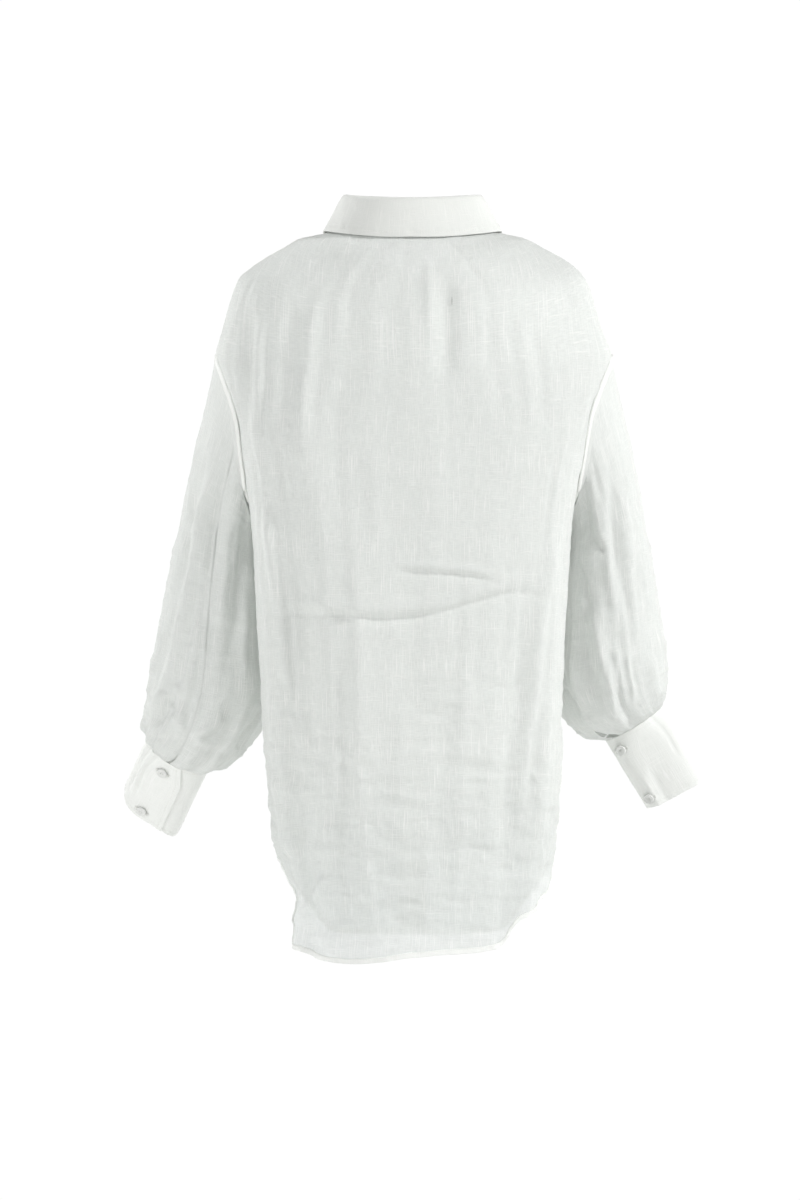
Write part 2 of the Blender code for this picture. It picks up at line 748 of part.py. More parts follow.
def make_front_buttons(material, collection):
    lift = CLOTH + 3 * REST_GAP
    for number in range(1, FRONT_BUTTONS + 1):
        level = FIRST_BUTTON_DROP + BUTTON_PITCH * (number - 1)
        place = body_point(level, 180.0, lift)
        make_button(f"front_button_{number}", place, body_normal(level, 180.0), material, collection)


def stand_top(angle):
    """A point on the middle of the stand's upper edge."""
    turn = math.radians(angle)
    sine, cosine = math.sin(turn), math.cos(turn)
    depth, height = STAND_TOP_BACK if cosine > 0 else STAND_TOP_FRONT
    side_x, side_z = STAND_TOP_SIDE
    z = side_z + (height - side_z) * abs(cosine) ** 1.6
    return Vector((side_x * sine, depth * abs(cosine) - 0.004 * (1.0 - abs(cosine)), z))


def level_normal(angle):
    """The level direction out from the neck at an angle."""
    turn = math.radians(angle)
    return Vector((math.sin(turn) * 0.060, math.cos(turn) * 0.069, 0.0)).normalized()


def make_stand(material, collection):
    columns = round(2 * STAND_END_ANGLE / STAND_STEP)
    rows = 2
    outer, inward = [], []
    for row in range(rows + 1):
        line, directions = [], []
        for column in range(columns + 1):
            angle = STAND_END_ANGLE - STAND_STEP * column
            out = level_normal(angle) * (STAND_SPIRAL * (2.0 * column / columns - 1.0))
            foot = plain_body_point(0.0, angle) + Vector((0.0, 0.0, REST_GAP))
            line.append(foot.lerp(stand_top(angle), row / rows) + out)
            directions.append(-level_normal(angle))
        outer.append(line)
        inward.append(directions)
    return wall("collar_stand", outer, inward, FIRM_CLOTH, material, collection)


def fall_edge(angle):
    """A point on the fall's lower edge, held off the body."""
    places = [row[0] for row in FALL_EDGE]
    level = smooth_between(abs(angle), places, [row[1] for row in FALL_EDGE])
    lift = smooth_between(abs(angle), places, [row[2] for row in FALL_EDGE])
    normal = normal_of(plain_body_point, level, angle)
    return plain_body_point(level, angle) + normal * lift


def make_fall(material, collection):
    """The collar's fall: it rises from the stand, folds over and comes down outside it."""
    columns = round(2 * FALL_END_ANGLE / FALL_STEP)
    drop_shares = (0.5, 1.0)
    grid = []
    for outward, upward in FALL_FOLD:
        line = []
        for column in range(columns + 1):
            angle = FALL_END_ANGLE - FALL_STEP * column
            line.append(stand_top(angle) + level_normal(angle) * outward + Vector((0.0, 0.0, upward)))
        grid.append(line)
    for share in drop_shares:
        line = []
        for column in range(columns + 1):
            angle = FALL_END_ANGLE - FALL_STEP * column
            line.append(grid[len(FALL_FOLD) - 1][column].lerp(fall_edge(angle), share))
        grid.append(line)
    normals = grid_normals(grid, False, Vector((0.0, 1.0, 0.0)))
    hint = level_normal(FALL_END_ANGLE)
    if normals[-1][0].dot(hint) < 0:
        normals = [[-direction for direction in line] for line in normals]
    inward = [[-direction for direction in line] for line in normals]
    return wall("collar_fall", grid, inward, FIRM_CLOTH, material, collection)


def make_collar_button(material, collection):
    angle = 180.0
    foot = plain_body_point(0.0, angle)
    place = foot.lerp(stand_top(angle), 0.5) + level_normal(angle) * (STAND_SPIRAL + 3 * REST_GAP)
    make_button("collar_button", place, level_normal(angle), material, collection)


def main():
    clear_scene()
    shirt = make_collection("ramie_shirt")
    make_back(make_material("back_cloth", CLOTH_COLOUR, 0.9), shirt)
    make_fronts(make_material("front_cloth", CLOTH_COLOUR, 0.9), shirt)
    make_placket(make_material("placket_cloth", FIRM_COLOUR, 0.85), shirt)
    make_stand(make_material("stand_cloth", FIRM_COLOUR, 0.85), shirt)
    make_fall(make_material("fall_cloth", FIRM_COLOUR, 0.85), shirt)
    button_plastic = make_material("button_plastic", BUTTON_COLOUR, 0.3)
    for side_name in ("left", "right"):
        make_sleeve(side_name, make_material(f"sleeve_cloth_{side_name}", CLOTH_COLOUR, 0.9), shirt)
        make_cuff(side_name, make_material(f"cuff_cloth_{side_name}", FIRM_COLOUR, 0.85), shirt)
        make_cuff_buttons(side_name, button_plastic, shirt)
    make_front_buttons(button_plastic, shirt)
    make_collar_button(button_plastic, shirt)


main()
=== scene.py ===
"""Ramie shirt, dressed: thin slubby cloth with its creases, gathers, felled seams, rolled hems, stitches and
buttons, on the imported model. Metres, +Z up; the front faces -Y and the wearer's left is +X.

The body's sections, its hems and folds and the sleeves' sections repeat the solids', so every piece lies
where its solid is. Besides its creases and unevenness, the cloth differs from the solids in the angle of the
right sleeve's slit, the collar fall's lift, the cuffs' flatness and the height of the regular gathers.
A grid of points has one row for each step down the cloth and one column for each step round it.
"""

import math

import bmesh
import bpy
import numpy as np
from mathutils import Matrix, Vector


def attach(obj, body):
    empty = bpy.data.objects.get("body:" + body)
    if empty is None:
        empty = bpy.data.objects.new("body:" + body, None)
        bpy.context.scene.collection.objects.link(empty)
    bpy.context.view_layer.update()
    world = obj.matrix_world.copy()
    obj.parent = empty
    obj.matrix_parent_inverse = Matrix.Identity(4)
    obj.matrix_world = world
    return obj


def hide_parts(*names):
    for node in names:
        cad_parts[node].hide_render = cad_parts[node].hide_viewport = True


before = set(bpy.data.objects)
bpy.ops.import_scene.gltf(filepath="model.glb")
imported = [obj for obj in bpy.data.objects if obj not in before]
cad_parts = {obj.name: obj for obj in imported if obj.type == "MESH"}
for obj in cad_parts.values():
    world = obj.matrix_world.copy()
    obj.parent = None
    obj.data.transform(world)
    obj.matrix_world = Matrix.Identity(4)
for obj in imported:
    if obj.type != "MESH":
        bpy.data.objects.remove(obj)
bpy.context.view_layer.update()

MM = 0.001

# Cloth thicknesses and gaps, as in the solids
CLOTH = 0.0015
FIRM_CLOTH = 0.0018
REST_GAP = 0.0004

# Body levels and angles
TIP_LEVEL = 0.130
UNDERARM_LEVEL = 0.290
SIDE_HEM = 0.655
SIDE_ANGLE_TOP = 90.0
SIDE_ANGLE_UNDERARM = 108.0
SIDE_ANGLE_HEM = 98.0
ARMHOLE_BACK = 24.0
ARMHOLE_FRONT = 34.0

# Front closure
PLACKET_HALF = 0.015
PLACKET_START = 0.0045
UNDERLAP = 0.012
UNDERLAP_BLEND = 0.022
# The closure's layers lie even out to this angle from the centre front, then blend into the uneven cloth
CLOSURE_REACH = 9.0
CLOSURE_BLEND = 10.0
FRONT_BUTTONS = 6
FIRST_BUTTON_DROP = 0.060
BUTTON_PITCH = 0.092

# Cuffs
CUFF_DEPTH = 0.089
CUFF_GIRTH = 0.20
CUFF_LAP = 45.0
CUFF_SPIRAL = 0.00125
CUFF_BUTTON_DEPTHS = (0.0150, 0.0775)

# Buttons
BUTTON_THICKNESS = 0.0022
BUTTON_SIDES = 48
# The rings of points on a button's upper face, in mm from its middle, close together round its holes and
# where its rim turns down; the last one is its radius
BUTTON_RINGS = (
    *(0.0, 0.3, 0.6, 0.85, 1.1, 1.35, 1.6, 1.85, 2.1),
    *(2.4, 2.8, 3.3, 3.8, 4.2),
    *(4.6, 4.95, 5.25, 5.45, 5.6, 5.7),
)
DISH_SHARE = 0.80
DISH_RADIUS = 0.0034
DISH_BLEND = 0.0010
ROUNDING_START = 0.0048
ROUNDING = 0.0012
HOLE_RADIUS = 0.00055
HOLE_DEPTH = 0.0013
HOLE_OFFSET = 0.0009
BUTTON_HOLES = [(x * HOLE_OFFSET, y * HOLE_OFFSET) for x, y in ((1, 1), (-1, 1), (-1, -1), (1, -1))]

# The body's sections. A row gives where the section passes the sides, the centre back and the centre front.
BODY_COLUMNS = (
    "level",
    "left_x",
    "right_x",
    "side_y",
    "side_z",
    "back_y",
    "back_z",
    "front_y",
    "front_z",
    "back_square",
    "front_square",
)
BODY_SECTIONS = (
    (0.000, 0.0750, 0.0750, -0.004, 0.0100, 0.060, 0.001, -0.078, -0.070, 2.05, 2.0),
    (0.020, 0.0940, 0.0940, -0.002, 0.0040, 0.077, -0.012, -0.088, -0.085, 2.1, 2.0),
    (0.045, 0.1200, 0.1195, 0.000, -0.0020, 0.087, -0.026, -0.095, -0.098, 2.15, 2.0),
    (0.065, 0.1385, 0.1390, 0.002, -0.0127, 0.093, -0.040, -0.101, -0.110, 2.2, 2.0),
    (0.080, 0.1565, 0.1580, 0.004, -0.0230, 0.098, -0.053, -0.105, -0.120, 2.2, 2.0),
    (0.093, 0.1725, 0.1735, 0.006, -0.0340, 0.102, -0.066, -0.109, -0.130, 2.2, 2.0),
    (0.102, 0.1830, 0.1830, 0.007, -0.0445, 0.105, -0.078, -0.112, -0.140, 2.15, 2.0),
    (0.110, 0.1915, 0.1910, 0.008, -0.0657, 0.108, -0.094, -0.115, -0.152, 2.1, 1.95),
    (0.120, 0.1990, 0.1985, 0.009, -0.0920, 0.111, -0.114, -0.118, -0.165, 2.05, 1.9),
    (0.130, 0.2075, 0.2105, 0.010, -0.1240, 0.114, -0.136, -0.121, -0.178, 1.95, 1.85),
    (0.205, 0.1880, 0.1890, 0.020, -0.2000, 0.121, -0.204, -0.126, -0.222, 2.6, 2.1),
    (0.290, 0.1715, 0.1690, 0.030, -0.2900, 0.124, -0.290, -0.130, -0.290, 2.7, 2.0),
    (0.357, 0.1664, 0.1640, 0.030, -0.3570, 0.124, -0.357, -0.131, -0.357, 2.6, 2.0),
    (0.458, 0.1595, 0.1588, 0.028, -0.4580, 0.122, -0.458, -0.130, -0.458, 2.5, 2.0),
    (0.563, 0.1521, 0.1553, 0.022, -0.5630, 0.118, -0.563, -0.126, -0.563, 2.4, 2.0),
    (0.650, 0.1420, 0.1470, 0.016, -0.6500, 0.112, -0.650, -0.120, -0.650, 2.3, 2.0),
    (0.715, 0.1290, 0.1400, 0.013, -0.7150, 0.108, -0.715, -0.116, -0.715, 2.2, 2.0),
    (0.770, 0.1330, 0.1365, 0.010, -0.7700, 0.104, -0.770, -0.112, -0.770, 2.2, 2.0),
)

# The hem's level on the back. Columns: angle from the centre back, level on the left, level on the right.
BACK_HEM = (
    (0, 0.7590, 0.7560),
    (22, 0.7645, 0.7535),
    (33, 0.7640, 0.7505),
    (42, 0.7620, 0.7450),
    (50, 0.7580, 0.7225),
    (60, 0.7530, 0.7115),
    (68, 0.7480, 0.7035),
    (73, 0.7200, 0.6985),
    (80, 0.6950, 0.6920),
    (90, 0.6720, 0.6780),
    (98, SIDE_HEM, SIDE_HEM),
)
# The hem's level on the front. Columns: angle from the centre front, level.
FRONT_HEM = (
    (0, 0.743),
    (40, 0.738),
    (55, 0.717),
    (68, 0.686),
    (82, SIDE_HEM),
)

# Soft folds that run down the body. Columns: angle round it, reach each way, first level, last level, height.
BODY_FOLDS = (
    (52.0, 7.0, 0.330, 0.800, -0.0055),
    (66.0, 7.0, 0.240, 0.800, 0.0035),
    (-60.0, 8.0, 0.300, 0.800, 0.0045),
    (-44.0, 7.0, 0.430, 0.800, -0.0035),
    (17.0, 9.0, 0.080, 0.340, -0.0025),
    (-12.0, 10.0, 0.480, 0.800, -0.0035),
    (10.0, 9.0, 0.560, 0.800, 0.0030),
    (128.0, 8.0, 0.330, 0.780, -0.0050),
    (146.0, 9.0, 0.360, 0.780, 0.0040),
    (-126.0, 8.0, 0.320, 0.780, -0.0050),
    (-148.0, 9.0, 0.380, 0.780, 0.0040),
)

# A sleeve's sections, from the armhole to the cuff. "across" and "deep" are half sizes; "tilt" raises the
# outer side and "lean" turns the lower end forward, both in degrees.
SLEEVE_TABLE_COLUMNS = ("x", "y", "z", "across", "deep", "tilt", "lean", "gather")
SLEEVE_SECTIONS = {
    "left": (
        (0.180, -0.012, -0.205, 0.085, 0.075, 74, 0, 0.0),
        (0.186, -0.048, -0.245, 0.058, 0.078, 50, 0, 0.0),
        (0.199, -0.074, -0.295, 0.047, 0.078, 25, 0, 0.0),
        (0.2040, -0.080, -0.350, 0.0515, 0.078, 14, 4, 0.0005),
        (0.2085, -0.084, -0.420, 0.059, 0.078, 12, 6, 0.0014),
        (0.2130, -0.089, -0.475, 0.065, 0.077, 13, 8, 0.0026),
        (0.2250, -0.095, -0.512, 0.0590, 0.067, 17, 17, 0.0036),
        (0.2385, -0.103, -0.534, 0.0515, 0.049, 22, 29, 0.0034),
        (0.2496, -0.112, -0.5448, 0.037, 0.026, 26, 42, 0.0010),
    ),
    "right": (
        (0.180, -0.012, -0.203, 0.085, 0.075, 74, 0, 0.0),
        (0.186, -0.048, -0.243, 0.060, 0.078, 50, 0, 0.0),
        (0.1995, -0.074, -0.292, 0.047, 0.078, 25, 0, 0.0),
        (0.202, -0.080, -0.347, 0.0515, 0.078, 14, 3, 0.0005),
        (0.204, -0.084, -0.405, 0.057, 0.078, 12, 4, 0.0014),
        (0.206, -0.088, -0.455, 0.0625, 0.077, 14, 6, 0.0026),
        (0.2155, -0.093, -0.490, 0.0575, 0.066, 19, 8, 0.0036),
        (0.226, -0.097, -0.507, 0.047, 0.046, 26, 10, 0.0034),
        (0.2367, -0.100, -0.515, 0.0358, 0.022, 31, 12, 0.0010),
    ),
}
LAST_PLACE = 8.0
GATHERS = 12
SLEEVE_FOLDS = 3
SLEEVE_FOLD_HEIGHT = 0.0030
SLEEVE_CLEARANCE = 0.0035
SLIT_START = 6.5
SLIT_WIDEST = 7.5
SLIT_SPREAD = 37.5
SLIT_ANGLE = {"left": 82.5, "right": 128.0}
SLIT_WIDTH = {"left": (0.0024, 0.0014), "right": (0.0110, 0.0050)}
FLAP_ANGLE = {"left": 108.0, "right": 164.0}
CUFF_BUTTON_ANGLE = {"left": 85.0, "right": 130.0}
CUFF_END_SCALE = {"left": (1.00, 1.20), "right": (0.95, 1.10)}
CUFF_FLATNESS = 1.5
# Soft folds on the cuffs. Columns: turn, reach each way in degrees, height in mm, first depth, last depth.
CUFF_FOLDS = {
    "left": (
        (38.0, 5.0, -2.6, -0.02, 0.075),
        (52.0, 5.0, 1.8, -0.02, 0.08),
        (64.0, 4.5, -2.2, -0.02, 0.07),
        (22.0, 5.0, -1.6, 0.02, 0.12),
    ),
    "right": (
        (114.0, 6.0, 1.7, 0.045, 0.12),
        (96.0, 6.0, -1.6, 0.04, 0.12),
        (60.0, 7.0, -1.0, -0.02, 0.06),
    ),
}
CUFF_SKEW = {"left": 0.16, "right": -0.03}
# How quickly a cuff flattens down from the gathers, where its folds lean from, how much, and their taper
CUFF_FLATTENING = 0.03
CUFF_FOLD_MIDDLE = 0.045
CUFF_FOLD_LEAN = 60.0
CUFF_FOLD_TAPER = 0.02
SIDES = {"left": 1, "right": -1}

# Collar: the stand's upper edge, the fall's fold over it and its lower edge on the body
STAND_TOP_SIDE = (0.069, 0.0376)
STAND_TOP_BACK = (0.0575, 0.0318)
STAND_TOP_FRONT = (-0.072, -0.040)
STAND_END_ANGLE = 190.0
STAND_SPIRAL = 0.0012
STAND_GIRTH = 0.455
STAND_HEIGHT = 0.031
FALL_END_ANGLE = 171.0
FALL_GIRTH = 0.49
# The fall's turn over the stand's upper edge. Columns: outward, upward.
FALL_FOLD = (
    (-0.0019, 0.0008),
    (-0.0019, 0.0042),
    (0.0028, 0.0085),
    (0.0070, 0.0045),
)
# The puckers along the fall's stitching: their height, middle and reach from the edge; and its broad ripples
PUCKER_HEIGHT = 0.00042
PUCKER_MIDDLE = 0.006
PUCKER_REACH = 0.009
FALL_RIPPLE_HEIGHT = 0.0004
# The fall's lower edge on the body. Columns: angle, level, lift off the body.
FALL_EDGE = (
    (0, 0.0080, 0.0031),
    (45, 0.0120, 0.0031),
    (90, 0.0200, 0.0034),
    (125, 0.026, 0.0050),
    (150, 0.034, 0.0060),
    (171, 0.010, 0.0075),
)

# Grids: rows and columns of points on each piece
SHOULDER_ROWS = 62
ARMHOLE_ROWS = 92
SKIRT_ROWS = 215
BACK_COLUMNS = 262
FRONT_COLUMNS = 120
ARC_SAMPLES = 240
SLEEVE_ROWS = 190
SLEEVE_COLUMNS = 241
PLACKET_GRID = (300, 18)
CUFF_GRID = (50, 170)
STAND_GRID = (16, 220)
FALL_GRID = (52, 260)
# How far a cloth wall's edge and a narrow strip's edge round off
EDGE_RIM = 0.0009
STRIP_RIM = 0.0006

# Seams and hems: widths, thicknesses and points inside the body that they face away from
HEM_WIDTH = 0.0058
HEM_THICKNESS = 0.0015
HEM_CENTRE = (0.0, 0.0, -0.70)
HEM_OVERHANG = 0.0005
# A hem stops this many degrees from the side seams, and the fronts' hems end at these angles by the centre
HEM_END = 0.3
LEFT_HEM_END = 183.0
RIGHT_HEM_END = -173.0
FELL_WIDTH = 0.0088
FELL_THICKNESS = 0.0013
SEAM_THICKNESS = 0.0011
SIDE_SEAM_WIDTH = 0.007
SIDE_SEAM_CENTRE = (0.0, 0.0, -0.45)
SHOULDER_SEAM_WIDTH = 0.008
SHOULDER_SEAM_LENGTH = 0.15
SHOULDER_SEAM_CENTRE = (0.0, 0.0, -0.3)

# Stitches: a thread's length, pitch and radius, its rise over a seam and over a flat piece, and the free ends
STITCH_LENGTH = 0.0022
STITCH_PITCH = 0.0029
STITCH_RADIUS = 0.00019
SEAM_STITCH_RISE = 0.0009
FLAT_STITCH_RISE = 0.00008
STITCH_MARGIN = 0.004
# The thread's rings. Columns: along in stitch lengths, size and rise in thread radii.
THREAD_RINGS = ((-0.5, 0.35, -1.3), (-0.28, 1.0, 0.0), (0.28, 1.0, 0.0), (0.5, 0.35, -1.3))
THREAD_CORNERS = ((1.3, 0.0), (0.0, 1.0), (-1.3, 0.0), (0.0, -1.0))
# How far from a piece's edges its topstitching runs
PLACKET_STITCHING = 0.0045
CUFF_STITCHING = 0.0048
STAND_STITCHING = 0.003
FALL_STITCHING = 0.0058

# Creases. Columns: SOFT or SHARP, half width in mm, height in mm, then the course as x and z in mm. They fade
# in and out over CREASE_TAPER of their course and reach CREASE_REACH half widths.
SOFT, SHARP = "soft", "sharp"
CREASE_STRENGTH = 2.3
CREASE_TAPER = 0.25
CREASE_REACH = 3.5
BACK_CREASES = (
    (SHARP, 5.0, -2.2, ((163, -395), (130, -399), (96, -399), (60, -401), (32, -404), (0, -402),
                        (-27, -397), (-67, -386), (-100, -377), (-118, -377), (-138, -382), (-162, -390))),
    (SOFT, 9.0, 1.4, ((160, -384), (96, -389), (32, -394), (-27, -387), (-67, -376), (-100, -366),
                      (-140, -370))),
    (SHARP, 4.0, -1.5, ((28, -352), (0, -354), (-40, -357), (-75, -362), (-104, -371))),
    (SOFT, 5.0, 1.2, ((24, -346), (-20, -349), (-60, -352), (-95, -360))),
    (SOFT, 6.0, 4.0, ((152, -270), (146, -320), (140, -380), (136, -430), (132, -500))),
    (SHARP, 6.0, -1.6, ((141, -300), (138, -350), (133, -400), (129, -450), (125, -520))),
    (SOFT, 13.0, -4.0, ((122, -290), (116, -380), (112, -470), (109, -600), (106, -735))),
    (SOFT, 7.0, 3.6, ((-150, -310), (-137, -366), (-130, -418), (-125, -479), (-119, -519), (-113, -586),
                      (-111, -650))),
    (SOFT, 10.0, -2.4, ((-34, -40), (-35, -100), (-33, -160))),
    (SOFT, 8.0, -4.0, ((134, -640), (129, -685), (120, -722))),
    (SOFT, 5.0, 2.2, ((119, -722), (112, -705), (100, -686), (92, -668))),
    (SHARP, 3.5, -1.2, ((112, -716), (92, -722), (70, -717), (52, -724))),
    (SHARP, 3.5, 1.1, ((60, -690), (38, -697), (10, -692), (-14, -700))),
    (SOFT, 12.0, -1.6, ((-112, -395), (-107, -480), (-100, -580), (-96, -700))),
    (SOFT, 8.0, 1.0, ((60, -300), (57, -420), (54, -560), (50, -700))),
    (SOFT, 9.0, -1.2, ((76, -410), (73, -520), (70, -640), (68, -730))),
    (SOFT, 9.0, 1.1, ((-55, -430), (-52, -540), (-50, -650), (-47, -740))),
    (SOFT, 10.0, 1.2, ((10, -470), (14, -560), (12, -650), (14, -745))),
    (SOFT, 7.0, -1.5, ((170, -60), (172, -100), (174, -150), (172, -215))),
    (SOFT, 6.0, 1.4, ((157, -70), (161, -130), (163, -190), (162, -240))),
    (SHARP, 4.0, -0.9, ((150, -85), (153, -130), (155, -180), (155, -225))),
    (SOFT, 8.0, -1.0, ((124, -60), (130, -110), (135, -165), (137, -220))),
    (SOFT, 8.0, 0.9, ((100, -55), (108, -110), (114, -170), (118, -240))),
    (SOFT, 9.0, -0.9, ((-128, -90), (-136, -150), (-141, -220))),
    (SOFT, 8.0, 1.0, ((-110, -75), (-119, -140), (-124, -215))),
    (SOFT, 6.0, 0.9, ((-15, -20), (-17, -60), (-18, -105))),
    (SHARP, 3.0, -0.8, ((-120, -470), (-105, -476), (-88, -474), (-76, -479))),
    (SHARP, 3.0, -0.7, ((-60, -500), (-35, -505), (-10, -503), (8, -508))),
    (SHARP, 3.0, -0.7, ((60, -522), (80, -527), (98, -525), (112, -530))),
    (SHARP, 3.0, -0.8, ((-118, -560), (-95, -566), (-70, -563), (-50, -569))),
    (SHARP, 3.5, -1.0, ((-110, -640), (-90, -646), (-62, -643), (-30, -650))),
    (SHARP, 3.5, -0.9, ((105, -612), (80, -620), (50, -617), (26, -624))),
    (SHARP, 3.0, -0.8, ((90, -668), (64, -674), (30, -671), (4, -678))),
    (SHARP, 3.0, -0.8, ((-20, -694), (-52, -700), (-84, -696), (-104, -701))),
)
# The front's own creases, seen from in front, where x runs to the wearer's left as before.
FRONT_CREASES = (
    (SHARP, 5.0, -1.8, ((160, -397), (110, -402), (60, -400), (22, -403))),
    (SHARP, 5.0, -1.8, ((-22, -401), (-60, -396), (-110, -388), (-158, -392))),
    (SOFT, 9.0, 2.2, ((120, -150), (112, -230), (104, -330), (100, -430))),
    (SOFT, 10.0, -2.0, ((96, -160), (90, -260), (84, -380), (82, -500))),
    (SOFT, 9.0, 2.2, ((-118, -150), (-110, -240), (-103, -340), (-99, -440))),
    (SOFT, 10.0, -2.0, ((-94, -165), (-88, -270), (-83, -390), (-80, -510))),
    (SOFT, 9.0, 1.6, ((60, -440), (56, -540), (54, -640), (52, -730))),
    (SOFT, 9.0, 1.6, ((-62, -430), (-58, -530), (-55, -640), (-54, -730))),
    (SOFT, 8.0, -1.3, ((40, -120), (42, -180), (40, -240))),
    (SOFT, 8.0, -1.3, ((-42, -125), (-44, -190), (-41, -250))),
    (SHARP, 3.5, -0.9, ((110, -520), (80, -526), (52, -523), (26, -529))),
    (SHARP, 3.5, -0.9, ((-28, -560), (-56, -566), (-84, -562), (-108, -568))),
    (SHARP, 3.5, -0.9, ((102, -630), (72, -637), (44, -633), (24, -638))),
)
# The sleeves' creases on the side that faces back. The left sleeve's are seen to the left from behind.
SLEEVE_CREASES = {
    "left": (
        (SOFT, 6.0, -2.8, ((222, -235), (226, -262), (235, -294), (242, -340), (249, -368), (262, -426),
                           (276, -480))),
        (SOFT, 7.0, 2.6, ((208, -230), (214, -262), (223, -294), (230, -340), (237, -368), (250, -426),
                          (264, -484))),
        (SOFT, 7.0, -1.8, ((192, -215), (197, -240), (204, -278), (211, -322), (216, -370))),
        (SOFT, 8.0, 1.6, ((186, -235), (190, -280), (196, -330), (202, -380), (208, -430))),
        (SOFT, 6.0, -1.5, ((176, -280), (182, -330), (188, -390), (194, -440), (200, -480))),
        (SOFT, 7.0, 1.6, ((222, -395), (230, -440), (240, -480), (243, -505))),
        (SHARP, 5.0, -2.6, ((154, -492), (165, -512), (175, -524), (184, -541), (188, -552))),
        (SOFT, 4.0, 1.1, ((240, -531), (245, -521), (251, -511), (257, -503))),
        (SHARP, 3.0, -1.5, ((236, -536), (226, -531), (214, -527), (203, -519))),
        (SHARP, 3.0, 1.3, ((234, -538), (222, -535), (210, -537), (199, -541))),
        (SOFT, 5.0, 1.8, ((241, -529), (244, -515), (247, -497), (250, -470))),
        (SOFT, 5.0, 2.0, ((239, -531), (226, -523), (212, -516), (200, -505))),
        (SOFT, 4.0, 1.4, ((240, -530), (234, -515), (229, -500), (224, -478))),
        (SOFT, 5.0, -1.6, ((240, -538), (222, -541), (205, -545), (192, -546))),
        (SHARP, 3.0, -1.0, ((238, -533), (232, -527), (220, -530), (208, -534))),
        (SOFT, 5.0, 2.0, ((264, -478), (270, -490), (277, -501), (284, -512))),
        (SOFT, 4.0, -1.8, ((256, -482), (262, -496), (269, -509), (276, -521))),
        (SOFT, 4.0, 1.4, ((250, -500), (255, -512), (262, -524), (268, -533))),
    ),
    "right": (
        (SHARP, 5.0, -1.8, ((-182, -262), (-184, -283), (-189, -313), (-200, -329), (-208, -350))),
        (SHARP, 4.0, -1.6, ((-176, -330), (-178, -344), (-184, -360), (-188, -384), (-190, -410))),
        (SOFT, 5.0, 1.6, ((-190, -262), (-193, -282), (-196, -310), (-204, -330))),
        (SOFT, 7.0, -1.8, ((-209, -240), (-210, -267), (-211, -305), (-218, -342), (-225, -373),
                           (-232, -420))),
        (SOFT, 7.0, 1.8, ((-201, -240), (-204, -280), (-206, -340), (-214, -384), (-222, -430))),
        (SOFT, 7.0, 1.8, ((-222, -270), (-226, -320), (-234, -370), (-243, -420), (-251, -465))),
        (SOFT, 6.0, -1.4, ((-232, -330), (-240, -380), (-248, -425), (-256, -465))),
        (SOFT, 5.0, 1.6, ((-190, -380), (-196, -420), (-203, -455), (-210, -485))),
        (SOFT, 5.0, -1.6, ((-182, -400), (-187, -440), (-195, -475), (-204, -500))),
        (SHARP, 4.0, -2.0, ((-163, -470), (-168, -484), (-174, -497), (-184, -512))),
        (SHARP, 3.0, 1.6, ((-216, -507), (-213, -488), (-209, -468), (-207, -440))),
        (SHARP, 3.0, -1.5, ((-224, -505), (-222, -486), (-219, -466), (-218, -442))),
        (SHARP, 3.0, 1.4, ((-236, -498), (-234, -480), (-230, -458), (-226, -436))),
        (SOFT, 4.0, 1.5, ((-170, -440), (-175, -465), (-182, -488), (-192, -507))),
        (SOFT, 4.0, 1.5, ((-214, -430), (-219, -460), (-224, -485), (-229, -505))),
        (SOFT, 4.0, -1.5, ((-232, -440), (-237, -465), (-242, -484), (-247, -498))),
    ),
}
# Small gathers at each cuff: how many, their reach round the sleeve in degrees and height in mm.
CUFF_GATHERS = 34
CUFF_GATHER_REACH = (2.2, 5.0)
CUFF_GATHER_HEIGHT = (1.0, 2.9)
# How much of the solids' height the regular gathers keep
REGULAR_GATHER_SHARE = 0.45


def smooth_step(value):
    value = np.clip(value, 0.0, 1.0)
    return value * value * (3.0 - 2.0 * value)


def smooth_between(position, places, values):
    """A smooth curve through values at places, read at position."""
    places, values = np.asarray(places, float), np.asarray(values, float)
    position = np.asarray(position, float)
    count = len(places)
    low = np.maximum(np.arange(count) - 1, 0)
    high = np.minimum(np.arange(count) + 1, count - 1)
    slopes = (values[high] - values[low]) / (places[high] - places[low])
    index = np.clip(np.searchsorted(places, position) - 1, 0, count - 2)
    width = places[index + 1] - places[index]
    along = np.clip((position - places[index]) / width, 0.0, 1.0)
    rise = values[index + 1] - values[index]
    start_slope, end_slope = slopes[index] * width, slopes[index + 1] * width
    bend = 3 * rise - 2 * start_slope - end_slope
    ease = start_slope + end_slope - 2 * rise
    return values[index] + along * (start_slope + along * (bend + along * ease))


def table_column(table, column):
    return [row[column] for row in table]


def stack(x, y, z):
    return np.stack(np.broadcast_arrays(x, y, z), axis=-1)


def unit(vectors):
    return vectors / np.maximum(np.linalg.norm(vectors, axis=-1, keepdims=True), 1e-12)


def angle_apart(one, other):
    return (one - other + 180.0) % 360.0 - 180.0


def run_lengths(points, axis=0):
    """How far along its line each point is, where the lines run along an axis of the array."""
    steps = np.linalg.norm(np.diff(points, axis=axis), axis=-1)
    return np.insert(np.cumsum(steps, axis=axis), 0, 0.0, axis=axis)


# ---------------------------------------------------------------- noise

LATTICE = 64


